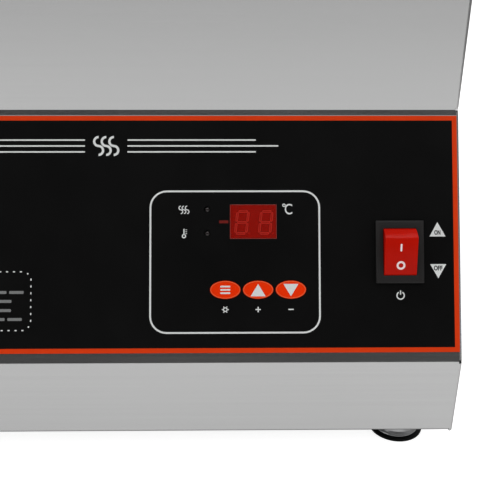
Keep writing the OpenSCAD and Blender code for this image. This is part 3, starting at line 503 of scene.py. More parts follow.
def shift(bm: BMesh, verts: Sequence[BMVert], x: float = 0.0, y: float = 0.0, z: float = 0.0) -> None:
    """Move vertices."""
    bmesh.ops.translate(bm, vec=(x * MM, y * MM, z * MM), verts=verts)


def bevelled(bm: BMesh, parts: Sequence[BMEdge | BMVert], width: float, segments: int,
             affect: str = "EDGES", clamp: bool = False) -> list[BMFace]:
    """Bevel edges or corners, and give the new faces."""
    return bmesh.ops.bevel(bm, geom=parts, offset=width * MM, offset_type="OFFSET", segments=segments,
                           profile=0.5, affect=affect, clamp_overlap=clamp, material=-1)["faces"]


def inset(bm: BMesh, face: BMFace, line: float) -> list[BMFace]:
    """Inset a face evenly, and give the faces of its rim."""
    return bmesh.ops.inset_region(bm, faces=[face], thickness=line * MM, use_even_offset=True,
                                  use_boundary=True)["faces"]


def sharp_edges(bm: BMesh, turn: float) -> list[BMEdge]:
    """Give the edges at which the surface turns by more than some degrees."""
    return [edge for edge in bm.edges if edge.is_manifold and edge.calc_face_angle(0.0) > math.radians(turn)]


def top_face(bm: BMesh, sides: int) -> BMFace:
    """Give the highest face with this many sides."""
    return max((face for face in bm.faces if len(face.verts) == sides),
               key=lambda face: face.calc_center_median().z)


def fit(bm: BMesh, verts: Sequence[BMVert], size: Point, centre: Point) -> None:
    """Stretch flat shapes to fill a box.

    Args:
        bm: The mesh.
        verts: The shapes' vertices.
        size: The box's width and height. A height below 0 turns them over.
        centre: The box's middle.
    """
    low, high = ([end(vert.co[axis] for vert in verts) for axis in (0, 1)] for end in (min, max))
    bmesh.ops.translate(bm, vec=(-(low[0] + high[0]) / 2, -(low[1] + high[1]) / 2, 0.0), verts=verts)
    wide, tall = (size[axis] * MM / (high[axis] - low[axis]) for axis in (0, 1))
    bmesh.ops.scale(bm, vec=(wide, tall, 1.0), verts=verts)
    shift(bm, verts, *centre)


def flat_plate(bm: BMesh, width: float, height: float, radius: float = 0.0,
               centre: Point = CENTRE, segments: int = 6) -> BMFace:
    """Add one flat face facing +Z, with round corners if a radius is given.

    Args:
        bm: The mesh that it is added to.
        width: Size along X.
        height: Size along Y.
        radius: Corner radius.
        centre: The face's middle.
        segments: Steps in each round corner.

    Returns:
        The face.
    """
    before = set(bm.faces)
    verts = bmesh.ops.create_grid(bm, x_segments=1, y_segments=1, size=0.5)["verts"]
    bmesh.ops.scale(bm, vec=(width * MM, height * MM, 1.0), verts=verts)
    shift(bm, verts, *centre)
    if radius:
        bevelled(bm, verts, radius, segments, "VERTICES")
    return next(face for face in bm.faces if face not in before)


def flat_frame(bm: BMesh, size: Point, line: float, radius: float, centre: Point) -> None:
    """Add a flat outline with an even line.

    Args:
        bm: The mesh that it is added to.
        size: Outer width and height.
        line: The line's width.
        radius: Outer corner radius.
        centre: The outline's middle.
    """
    face = flat_plate(bm, *size, radius, centre, 8)
    inset(bm, face, line)
    bmesh.ops.delete(bm, geom=[face], context="FACES_ONLY")


def flat_arc(bm: BMesh, centre: Point, radius: float, line: float, start: float = 0.0,
             sweep: float = 360.0, steps: int = 16) -> None:
    """Add a flat curved band, or a ring.

    Args:
        bm: The mesh that it is added to.
        centre: The arc's centre.
        radius: The radius of the band's middle.
        line: The band's width.
        start: The angle it starts at, in degrees.
        sweep: The angle it covers, in degrees.
        steps: The number of steps in it.
    """
    angle = math.radians(start)
    out = Vector((math.cos(angle), math.sin(angle), 0.0))
    middle = Vector((centre[0] * MM, centre[1] * MM, 0.0))
    ends = [bm.verts.new(middle + out * (radius + side * line / 2) * MM) for side in (-1, 1)]
    edge = bm.edges.new(ends)
    bmesh.ops.spin(bm, geom=[*ends, edge], cent=middle, axis=(0, 0, 1), angle=math.radians(sweep),
                   steps=steps, use_merge=abs(sweep) >= 360)


def flat_triangle(bm: BMesh, centre: Point, width: float, height: float) -> None:
    """Add a flat triangle, with its tip down if its height is below 0."""
    verts = bmesh.ops.create_circle(bm, cap_ends=True, segments=3, radius=1.0)["verts"]
    fit(bm, verts, (width, height), centre)


def flat_disc(bm: BMesh, centre: Point, radius: float, segments: int) -> None:
    """Add a flat disc."""
    verts = bmesh.ops.create_circle(bm, cap_ends=True, segments=segments, radius=radius * MM)["verts"]
    shift(bm, verts, *centre)


def flat_words(bm: BMesh, words: str, size: Point, centre: Point, bold: float) -> None:
    """Add flat lettering: a unit, or ON and OFF.

    Args:
        bm: The mesh that it is added to.
        words: The characters.
        size: The lettering's width and height.
        centre: Its middle.
        bold: How far each outline is moved out, before the fit to the size.
    """
    curve = bpy.data.curves.new("lettering", "FONT")
    curve.body = words
    curve.size = size[1] * MM * 1.37
    curve.offset = bold * MM
    curve.resolution_u = 6
    carrier = new_object("lettering", curve)
    graph = bpy.context.evaluated_depsgraph_get()
    mesh = bpy.data.meshes.new_from_object(carrier.evaluated_get(graph))
    before = set(bm.verts)
    bm.from_mesh(mesh)
    fit(bm, [vert for vert in bm.verts if vert not in before], size, centre)
    bpy.data.objects.remove(carrier)
    bpy.data.curves.remove(curve)
    bpy.data.meshes.remove(mesh)


def thicken(bm: BMesh, depth: float, faces: Sequence[BMFace] = ()) -> list[BMVert]:
    """Turn flat faces of a mesh into solids.

    Args:
        bm: The mesh.
        depth: How far the faces are drawn along Z.
        faces: The faces, or none for all of them.

    Returns:
        The vertices of the far side.
    """
    far = vertices(bmesh.ops.extrude_face_region(bm, geom=list(faces) or list(bm.faces)))
    shift(bm, far, z=depth)
    bmesh.ops.recalc_face_normals(bm, faces=bm.faces)
    return far


def lathe(profile: Sequence[Point], steps: int) -> BMesh:
    """Turn a closed profile about Z.

    Args:
        profile: Its points as (radius, height).
        steps: The number of steps round.

    Returns:
        A new mesh.
    """
    bm = bmesh.new()
    verts = [bm.verts.new((radius * MM, 0.0, height * MM)) for radius, height in profile]
    edges = [bm.edges.new(pair) for pair in zip(verts, [*verts[1:], verts[0]])]
    bmesh.ops.spin(bm, geom=[*verts, *edges], cent=(0, 0, 0), axis=(0, 0, 1),
                   angle=math.tau, steps=steps, use_merge=True)
    bmesh.ops.remove_doubles(bm, verts=bm.verts, dist=1e-6)
    bmesh.ops.recalc_face_normals(bm, faces=bm.faces)
    return bm


def drawn(bm: BMesh, face: BMFace, steps: Sequence[Point]) -> None:
    """Press a flat face step by step, as a sheet is drawn in a die.

    Args:
        bm: The mesh.
        face: The face.
        steps: Each step as (how far in, how far up).
    """
    for inwards, upwards in steps:
        inset(bm, face, max(inwards, 0.001))
        shift(bm, face.verts, z=upwards)


def arc_steps(radius: float, start: float, end: float, count: int, sign: float = 1.0) -> list[Point]:
    """Give the steps of a fillet for drawn().

    Args:
        radius: The fillet's radius.
        start: The slope it starts with, in degrees, 0 for flat and 90 for upright.
        end: The slope it ends with.
        count: The number of steps.
        sign: 1 to go up and -1 to go down.

    Returns:
        The steps.
    """
    slopes = [math.radians(start + (end - start) * index / count) for index in range(count + 1)]
    return [(radius * abs(math.sin(last) - math.sin(first)),
             sign * radius * abs(math.cos(first) - math.cos(last)))
            for first, last in zip(slopes, slopes[1:])]


def copies(bm: BMesh, places: Sequence[Matrix]) -> None:
    """Repeat the whole mesh at several places.

    Args:
        bm: The mesh, which holds one shape at the origin.
        places: Where each copy goes.
    """
    source = [*bm.verts, *bm.edges, *bm.faces]
    for place in places[1:]:
        made = bmesh.ops.duplicate(bm, geom=source)
        bmesh.ops.transform(bm, matrix=place, verts=vertices(made))
    bmesh.ops.transform(bm, matrix=places[0], verts=vertices({"geom": source}))


@dataclass(frozen=True)
class SlopeFace:
    """The sloping face that carries the controls, and how to lay things on it."""

    front_mm: float = -212.0
    run_mm: float = 60.0
    rise_mm: float = 117.5
    bend_high_mm: float = 176.8
    film_mm: float = 0.4

    def matrix(self, u_mm: float = 0.0, v_mm: float = 0.0, w_mm: float = 0.0) -> Matrix:
        """Give the place of a point on the face.

        Args:
            u_mm: Distance across from the middle.
            v_mm: Distance down the slope.
            w_mm: Height above the sheet.

        Returns:
            A matrix whose X runs across, Y up the slope and Z out of it.
        """
        angle = math.atan2(self.run_mm, self.rise_mm)
        sine, cosine = math.sin(angle), math.cos(angle)
        across = Vector((1.0, 0.0, 0.0))
        up = Vector((0.0, sine, cosine))
        out = Vector((0.0, -cosine, sine))
        origin = Vector((0.0, (self.run_mm + self.front_mm) * MM, self.bend_high_mm * MM))
        place = origin + (across * u_mm - up * v_mm + out * w_mm) * MM
        return Matrix.Translation(place) @ Matrix((across, up, out)).transposed().to_4x4()


SLOPE = SlopeFace()


@dataclass
class Workshop:
    """What every sub-assembly needs: the frame's nodes and the materials made so far."""

    nodes: dict[str, bpy.types.Object]
    made: dict[str, bpy.types.Material] = field(default_factory=dict)

    def material(self, finish: Finish) -> bpy.types.Material:
        """Give a finish's material, made on its first use.

        Args:
            finish: The finish.

        Returns:
            Its material.
        """
        if finish.name not in self.made:
            self.made[finish.name] = finish.build()
        return self.made[finish.name]

    def dress(self, finish: Finish, *names: str) -> None:
        """Give CAD nodes a finish.

        Args:
            finish: The finish.
            names: The nodes.
        """
        for name in names:
            mesh = self.nodes[name].data
            mesh.materials.clear()
            mesh.materials.append(self.material(finish))
            LOG.info("dressed %s in %s", name, finish.name)

    def piece(self, bm: BMesh, name: str, body: str, slot: str, finishes: Sequence[Finish],
              replaces: Sequence[str] = (), sharp: float = 35.0,
              place: Matrix = IN_PLACE) -> bpy.types.Object:
        """Make a finished mesh into a piece that rides on a body.

        Args:
            bm: The mesh, freed here.
            name: The piece's name.
            body: The body it rides on.
            slot: The record's material slot; not used.
            finishes: Its finishes, by material index.
            replaces: The CAD nodes it stands for.
            sharp: Edges that turn by more than this many degrees stay sharp.
            place: Where the mesh goes.

        Returns:
            The piece.
        """
        bmesh.ops.transform(bm, matrix=place, verts=bm.verts)
        made = mesh_object(bm, name, [self.material(finish) for finish in finishes])
        mesh = made.data
        mesh.polygons.foreach_set("use_smooth", [True] * len(mesh.polygons))
        mesh.set_sharp_from_angle(angle=math.radians(sharp))
        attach(made, body)
        if replaces:
            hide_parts(*replaces)
        LOG.info("made %s with %d faces", name, len(mesh.polygons))
        return made

    def cleaned(self, node: str) -> BMesh:
        """Copy a CAD node's mesh, with its triangles joined and its flat faces whole.

        Args:
            node: The CAD node.

        Returns:
            A new mesh.
        """
        bm = bmesh.new()
        bm.from_mesh(self.nodes[node].data)
        bmesh.ops.remove_doubles(bm, verts=bm.verts, dist=2e-6)
        bmesh.ops.dissolve_limit(bm, angle_limit=math.radians(0.5), verts=bm.verts, edges=bm.edges)
        return bm

    def softened(self, node: str, name: str, slot: str, finish: Finish, width: float) -> None:
        """Replace a CAD node of the cabinet by a copy with rounded edges.

        Args:
            node: The CAD node.
            name: The piece's name.
            slot: The record's material slot.
            finish: Its finish.
            width: The width of the rounding.
        """
        bm = self.cleaned(node)
        bevelled(bm, sharp_edges(bm, SOFT_TURN), width, 3, clamp=True)
        self.piece(bm, name, "cabinet", slot, [finish], [node], 50.0)


@dataclass
class Cabinet:
    """The folded steel cabinet and its screws."""

    shop: Workshop
    head_mm: float = 3.8
    shank_mm: float = 2.0
    tip_mm: float = -8.0
    recess_mm: float = 1.3
    arm_mm: float = 2.1
    cut_mm: float = 0.62
    plain_head_mm: float = 2.4

    def build(self) -> None:
        """Dress the sheets and make the screws."""
        self.shop.dress(CABINET_STEEL, "front_panel", "rear_panel")
        self.shop.dress(SIDE_STEEL, "left_side_panel", "right_side_panel")
        self.shop.dress(DECK_STEEL, "top_deck")
        self.shop.dress(PLAIN_STEEL, "bottom_plate")
        self.screws("rear_screws", -90.0, 1, 1, 2.4)
        self.screws("bottom_screws", 180.0, 2, -1, 1.2)

    def screw(self, high: float) -> BMesh:
        """Make one pan-head screw with a cross recess, head up from the origin.

        Args:
            high: The head's height.

        Returns:
            A new mesh.
        """
        head, shank, tip, arm, cut, deep = (
            self.head_mm, self.shank_mm, self.tip_mm, self.arm_mm, self.cut_mm, self.recess_mm)
        bm = lathe([(shank, tip), (shank, 0.0), (head, 0.0), (head, high * 0.35), (head * 0.93, high * 0.72),
                    (head * 0.74, high * 0.94), (arm * 1.08, high), (arm * 1.08, high - deep),
                    (0.0, high - deep * 1.2), (0.0, tip)], 32)
        middle = (arm + cut) / 2
        for turn in range(4):
            before = set(bm.verts)
            face = flat_plate(bm, arm - cut, arm - cut, 0.12, (middle, middle), 2)
            shift(bm, vertices(bmesh.ops.extrude_face_region(bm, geom=[face])), z=deep * 1.15)
            block = [vert for vert in bm.verts if vert not in before]
            shift(bm, block, z=high - deep * 1.17)
            bmesh.ops.scale(bm, vec=(0.86, 0.86, 1.0), verts=block)
            quarter = Matrix.Rotation(math.pi / 2 * turn, 3, "Z")
            bmesh.ops.rotate(bm, cent=(0, 0, 0), matrix=quarter, verts=block)
        bmesh.ops.recalc_face_normals(bm, faces=bm.faces)
        return bm

    def screws(self, node: str, turn: float, axis: int, out: int, high: float) -> None:
        """Make the screws that stand for a node, each where the node has one.

        Args:
            node: The node with the plain screws.
            turn: How far a screw is turned about X, in degrees.
            axis: The axis that the screws lie along.
            out: Which way their heads face along it, 1 or -1.
            high: Each head's height.
        """
        bm = self.screw(high)
        turned = Matrix.Rotation(math.radians(turn), 4, "X")
        copies(bm, [Matrix.Translation(seat) @ turned for seat in self.seats(node, axis, out)])
        self.shop.piece(bm, f"{node}_cross_head", "cabinet", "fastener_steel", [SCREW_STEEL], [node])

    def seats(self, node: str, axis: int, out: int) -> list[Vector]:
        """Find where a node's screws sit, from its separate solids.

        Args:
            node: The node with the plain screws.
            axis: The axis that they lie along.
            out: Which way their heads face along it, 1 or -1.

        Returns:
            The middle of each head's seat.
        """
        bm = self.shop.cleaned(node)
        left = set(bm.verts)
        seats = []
        while left:
            group, front = set(), [next(iter(left))]
            while front:
                vert = front.pop()
                if vert not in group:
                    group.add(vert)
                    front.extend(edge.other_vert(vert) for edge in vert.link_edges)
            left -= group
            low, high = (Vector([end(vert.co[i] for vert in group) for i in range(3)]) for end in (min, max))
            seat = (low + high) / 2
            seat[axis] = (high if out > 0 else low)[axis] - out * self.plain_head_mm * MM
            seats.append(seat)
        bm.free()
        return sorted(seats, key=lambda seat: [round(value, 4) for value in seat])


class KeySign(Enum):
    """What is printed on a key, with the key's node and body."""

    MENU = "set_key"
    UP = "up_key"
    DOWN = "down_key"


@dataclass
class ControlPanel:
    """The printed film with its window, lights and keys.

    Places of prints are (u, -v), because the flat shapes have Y up the slope.
    """

    shop: Workshop
    ink_mm: float = 0.04
    border_mm: Point = (366.8, 123.4)
    border_at_mm: Point = (0.0, -64.9)
    border_line_mm: float = 2.48
    frame_mm: Point = (88.7, 74.3)
    frame_at_mm: Point = (67.0, -79.55)
    title_mm: float = -19.05
    title_gap_mm: float = 11.0
    lights_mm: float = 40.5
    under_keys_mm: float = -104.3
    switch_sign_mm: float = 152.9
    box_mm: tuple[float, ...] = (-150.0, -38.35, -84.45, -114.7)
    box_corner_mm: float = 4.6
    dash_mm: Point = (1.1, 0.6)
    dash_pitch_mm: float = 3.54
    word_mm: tuple[float, ...] = (7.4, 4.2, 10.6, 6.0, 3.4, 12.2, 8.0, 5.2, 9.6, 4.0, 6.8, 11.0, 5.6, 7.8)
    digit_mm: Point = (5.7, 11.4)
    stroke_mm: float = 1.2
    lean: float = 6.5
    segment_line_mm: float = 0.3
    window_mm: Point = (24.4, 18.0)
    window_at_mm: Triple = (76.5, 58.7, -1.2)
    pane_mm: float = 1.6
    key_mm: Point = (15.8, 9.4)
    key_u_mm: Triple = (61.9, 78.9, 95.9)
    key_v_mm: float = 94.1
    key_top_mm: float = 0.8
    key_back_mm: float = -2.05
    key_sides: int = 64
    stem_mm: float = 1.6
    stem_tip_mm: float = -7.3
    light_u_mm: float = 52.6
    light_v_mm: Point = (52.3, 64.8)

    def build(self) -> None:
        """Dress the film and make the prints, the display and the keys."""
        self.shop.dress(BLACK_FILM, "control_overlay")
        self.borders()
        self.ornament()
        self.light_signs()
        self.low_signs()
        self.switch_signs()
        self.note_box()
        self.note_bars()
        self.display()
        for sign, u in zip(KeySign, self.key_u_mm):
            self.key(sign, u)
        self.lights()

    def print_on(self, bm: BMesh, name: str, ink: Ink, w_mm: float = SLOPE.film_mm,
                 body: str = "cabinet", slot: str = "overlay_print") -> None:
        """Lay flat shapes on the slope as ink.

        Args:
            bm: The flat shapes.
            name: The piece's name.
            ink: The ink, or the paint of a painted highlight.
            w_mm: The height of the surface that it is printed on.
            body: The body that it rides on.
            slot: The record's material slot.
        """
        thicken(bm, self.ink_mm)
        self.shop.piece(bm, name, body, slot, [ink], place=SLOPE.matrix(w_mm=w_mm))

    def borders(self) -> None:
        """Print the orange border, a painted highlight along the film's top edge and the white frame."""
        bm = bmesh.new()
        flat_frame(bm, self.border_mm, self.border_line_mm, 0.0, self.border_at_mm)
        self.print_on(bm, "orange_border", ORANGE_INK)
        bm = bmesh.new()
        # A painted highlight: a light grey line along the film's top edge.
        flat_plate(bm, self.border_mm[0], 0.35, 0.0, (0.0, -2.99))
        self.print_on(bm, "film_edge_highlight", FILM_EDGE_HIGHLIGHT)
        bm = bmesh.new()
        flat_frame(bm, self.frame_mm, 0.9, 8.9, self.frame_at_mm)
        self.print_on(bm, "controls_frame", WHITE_INK)

    def heat_sign(self, bm: BMesh, centre: Point, size: float) -> None:
        """Add three rising waves.

        Args:
            bm: The flat shapes.
            centre: The sign's middle.
            size: The sign's height.
        """
        for column in (-1, 0, 1):
            for half, sweep in ((1, 180), (-1, -180)):
                middle = (centre[0] + column * size * 0.42, centre[1] + half * size / 4)
                flat_arc(bm, middle, size / 4, size * 0.13, 90, sweep, 8)

    def ornament(self) -> None:
        """Print waves between lines where a title would be."""
        bm = bmesh.new()
        gap = self.title_gap_mm
        self.heat_sign(bm, (0.0, self.title_mm), 9.4)
        for side in (-1, 1):
            for rise, reach in ((-3.1, 78.0), (0.0, 89.75), (3.1, 78.0)):
                flat_plate(bm, reach - gap, 0.75, 0.3, (side * (gap + reach) / 2, self.title_mm + rise), 3)
        self.print_on(bm, "top_ornament", WHITE_INK)

    def light_signs(self) -> None:
        """Print the waves and the thermometer beside the lights, and the unit."""
        bm = bmesh.new()
        u = self.lights_mm
        self.heat_sign(bm, (u, -52.5), 3.9)
        flat_arc(bm, (u, -66.2), 0.85, 0.55)
        flat_plate(bm, 0.6, 3.2, 0.25, (u, -64.0), 3)
        for tick in (-62.9, -63.9, -64.9):
            flat_plate(bm, 0.9, 0.3, 0.0, (u + 1.2, tick))
        flat_arc(bm, (92.5, -50.2), 0.66, 0.5)
        flat_words(bm, "C", (3.9, 5.5), (94.9, -52.2), 0.03)
        self.print_on(bm, "unit_and_light_signs", WHITE_INK)

    def low_signs(self) -> None:
        """Print the sun, the plus and the minus under the keys, and the power sign."""
        bm = bmesh.new()
        sun, plus, minus = self.key_u_mm
        row = self.under_keys_mm
        flat_arc(bm, (sun, row), 0.95, 0.5)
        for turn in range(6):
            angle = math.tau * turn / 6
            flat_disc(bm, (sun + 1.55 * math.cos(angle), row + 1.55 * math.sin(angle)), 0.3, 8)
        flat_plate(bm, 2.8, 0.6, 0.2, (plus, row), 3)
        for side in (-1, 1):
            flat_plate(bm, 0.6, 1.1, 0.0, (plus, row + side * 0.86))
        flat_plate(bm, 2.8, 0.6, 0.2, (minus, row), 3)
        flat_arc(bm, (self.switch_sign_mm, -97.3), 1.9, 0.65, 120, 300, 20)
        flat_plate(bm, 0.65, 2.2, 0.2, (self.switch_sign_mm, -95.8), 3)
        self.print_on(bm, "key_and_switch_signs", WHITE_INK)

    def switch_signs(self) -> None:
        """Print ON and OFF on their triangles, and the dark place in the display."""
        bm = bmesh.new()
        flat_triangle(bm, (172.55, -62.9), 8.4, 7.5)
        flat_triangle(bm, (172.7, -84.75), 8.4, -7.4)
        self.print_on(bm, "switch_triangles", WHITE_INK)
        bm = bmesh.new()
        flat_words(bm, "ON", (3.2, 2.5), (172.5, -64.55), 0.12)
        flat_words(bm, "OFF", (4.5, 2.6), (172.65, -83.1), 0.12)
        self.print_on(bm, "switch_words", BLACK_INK, SLOPE.film_mm + self.ink_mm)
        bm = bmesh.new()
        flat_plate(bm, 4.68, 1.5, 0.0, (61.2, -58.8))
        self.print_on(bm, "minus_place", DARK_RED_INK)

    def note_box(self) -> None:
        """Print the dotted box."""
        left, right, top, bottom = self.box_mm
        long, line = self.dash_mm
        corner, pitch = self.box_corner_mm, self.dash_pitch_mm
        bm = bmesh.new()
        for index in range(int((right - left - 2 * corner) / pitch) + 1):
            for row, start in ((top, -0.65), (bottom, 0.45)):
                flat_plate(bm, long, line, 0.2, (right - corner + start - index * pitch, row), 3)
        for index in range(int((top - bottom - corner) / pitch)):
            for column in (left, right):
                flat_plate(bm, line, long, 0.2, (column, top - corner + 0.55 - index * pitch), 3)
        for column, inwards in ((left, 1), (right, -1)):
            for row, across, up in ((top, 1.7, -1.0), (bottom, 1.1, 1.8)):
                flat_disc(bm, (column + inwards * across, row + up), 0.42, 12)
        self.print_on(bm, "note_outline", WHITE_INK)

    def note_bars(self) -> None:
        """Print plain bars in the dotted box."""
        bm = bmesh.new()
        for row, place in ((-95.1, -42.1), (-99.7, -48.3), (-104.4, -48.5), (-109.0, -42.9)):
            for word in self.word_mm:
                if place - word < self.box_mm[0] + 6.0:
                    break
                flat_plate(bm, word, 1.5, 0.4, (place - word / 2, row), 3)
                place -= word + 1.4
        self.print_on(bm, "note_bars", GREY_INK)

    def digit(self, bm: BMesh, centre: Point) -> None:
        """Add the seven strokes of one slanted digit, and its point.

        Args:
            bm: The flat shapes.
            centre: The digit's middle.
        """
        (wide, high), stroke = self.digit_mm, self.stroke_mm
        before = set(bm.verts)
        bars = [(0.0, row, True) for row in (-1, 0, 1)]
        bars += [(column, row, False) for column in (-1, 1) for row in (-0.5, 0.5)]
        for column, row, level in bars:
            length = (wide if level else high / 2) - stroke * 0.75
            size = (length, stroke) if level else (stroke, length)
            face = flat_plate(bm, *size, stroke * 0.3, (column * wide / 2, row * high / 2), 1)
            for part in inset(bm, face, self.segment_line_mm):
                part.material_index = 1
        flat_disc(bm, (wide / 2 + 1.6, -high / 2), 0.62, 16)
        fresh = [vert for vert in bm.verts if vert not in before]
        for vert in fresh:
            vert.co.x += vert.co.y * math.tan(math.radians(self.lean))
        shift(bm, fresh, *centre)

    def display(self) -> None:
        """Dress the display and make its strokes and its window."""
        self.shop.dress(MODULE_FACE, "display_module")
        bm = bmesh.new()
        for u in (70.6, 82.95):
            self.digit(bm, (u, -59.1))
        thicken(bm, 0.03)
        self.shop.piece(bm, "display_strokes", "cabinet", "display_grey", [SEGMENT_FACE, SEGMENT_EDGE],
                        place=SLOPE.matrix(w_mm=0.2))
        bm = bmesh.new()
        flat_plate(bm, *self.window_mm, 0.25, CENTRE, 3)
        far = set(thicken(bm, self.pane_mm))
        # The pane's bevelled rim takes the paler colour, a painted highlight of its edge.
        for face in bevelled(bm, [edge for edge in bm.edges if far.issuperset(edge.verts)], 0.3, 2):
            face.material_index = 1
        self.shop.piece(bm, "display_window_pane", "cabinet", "display_red", [WINDOW_RED, WINDOW_EDGE_HIGHLIGHT],
                        ["display_window"], 12.0, SLOPE.matrix(*self.window_at_mm))

    def key(self, sign: KeySign, u: float) -> None:
        """Make one oval key with its printed sign.

        Args:
            sign: What is printed on it.
            u: The key's place across.
        """
        name, (wide, high), back = sign.value, self.key_mm, self.key_back_mm
        bm = lathe([(self.stem_mm, self.stem_tip_mm), (self.stem_mm, back), (0.0, back),
                    (0.0, self.stem_tip_mm)], 24)
        lip = flat_plate(bm, wide, high + 2, 1.5, CENTRE, 4)
        far = thicken(bm, 0.8, [lip])
        shift(bm, [*lip.verts, *far], z=back)
        before = set(bm.faces)
        verts = bmesh.ops.create_circle(bm, cap_ends=True, segments=self.key_sides, radius=0.5)["verts"]
        bmesh.ops.scale(bm, vec=(wide * MM, high * MM, 1.0), verts=verts)
        far = thicken(bm, self.key_top_mm - back - 0.1, [face for face in bm.faces if face not in before])
        shift(bm, [*verts, *far], z=back + 0.1)
        bevelled(bm, top_face(bm, self.key_sides).edges[:], 0.22, 3)
        cap = top_face(bm, self.key_sides)
        # The outer band of the cap's top takes the paler orange, a painted highlight of its edge.
        for face in inset(bm, cap, 0.35):
            face.material_index = 1
        drawn(bm, cap, [(0.15, -0.06), (0.6, 0.0)])
        self.shop.piece(bm, f"{name}_cap", name, "key_orange", [KEY_PLASTIC, KEY_EDGE_HIGHLIGHT], [name],
                        place=SLOPE.matrix(u, self.key_v_mm))
        bm = bmesh.new()
        if sign is KeySign.MENU:
            for row in (-1.7, 0.0, 1.7):
                flat_plate(bm, 5.2, 0.85, 0.3, (u, row - self.key_v_mm), 3)
        else:
            flat_triangle(bm, (u, -0.2 - self.key_v_mm), 7.8, 6.4 if sign is KeySign.UP else -6.4)
        self.print_on(bm, f"{name}_sign", WHITE_INK, self.key_top_mm - 0.06, name, "key_orange")

    def lights(self) -> None:
        """Make the lights' domed lenses."""
        bm = lathe([(1.5, -8.0), (1.5, -1.2), (1.36, -0.7), (0.95, -0.3), (0.45, -0.12), (0.0, -0.08),
                    (0.0, -8.0)], 24)
        copies(bm, [SLOPE.matrix(self.light_u_mm, v) for v in self.light_v_mm])
        self.shop.piece(bm, "indicator_light_lenses", "cabinet", "lens_red", [LIGHT_LENS],
                        ["indicator_lights"])


@dataclass
class RockerSwitch:
    """The rocker, its housing and its terminals."""

    shop: Workshop
    pivot_mm: Triple = (152.5, 74.7, -4.1)
    face_mm: float = 9.5
    side_mm: float = 8.35
    skirt_mm: float = 1.3
    side_turn: float = 57.3
    chamfer_mm: float = 1.3
    tilt: float = 15.0
    bar_mm: Point = (-0.2, 4.6)
    ring_mm: Point = (0.0, -4.75)

    def build(self) -> None:
        """Make the housing, the rocker and its marks."""
        self.shop.softened("switch_housing", "switch_housing_moulding", "switch_grey", SWITCH_PLASTIC, 0.4)
        self.shop.dress(BRASS, "switch_terminals")
        self.rocker()
        bm = bmesh.new()
        flat_plate(bm, 0.95, 3.9, 0.3, self.bar_mm, 3)
        flat_arc(bm, self.ring_mm, 1.75, 1.05, steps=32)
        thicken(bm, 0.05)
        shift(bm, bm.verts, z=self.face_mm)
        self.shop.piece(bm, "rocker_marks", "rocker", "rocker_red", [MARK_PLASTIC], place=self.place())

    def place(self) -> Matrix:
        """Give the tilted rocker's place, with its pin along X."""
        return SLOPE.matrix(*self.pivot_mm) @ Matrix.Rotation(math.radians(self.tilt), 4, "X")

    def rocker(self) -> None:
        """Copy the rocker with chamfered long sides and softened edges."""
        bm = self.shop.cleaned("switch_rocker")
        bmesh.ops.transform(bm, matrix=self.place().inverted(), verts=bm.verts)
        sides = [edge for edge in sharp_edges(bm, self.side_turn)
                 if all(abs(vert.co.x) > self.side_mm * MM for vert in edge.verts)
                 and max(vert.co.z for vert in edge.verts) > self.skirt_mm * MM]
        bevelled(bm, sides, self.chamfer_mm, 1, clamp=True)
        bevelled(bm, sharp_edges(bm, SOFT_TURN), 0.22, 2, clamp=True)
        self.shop.piece(bm, "rocker_moulding", "rocker", "rocker_red", [ROCKER_PLASTIC], ["switch_rocker"],
                        22.0, self.place())


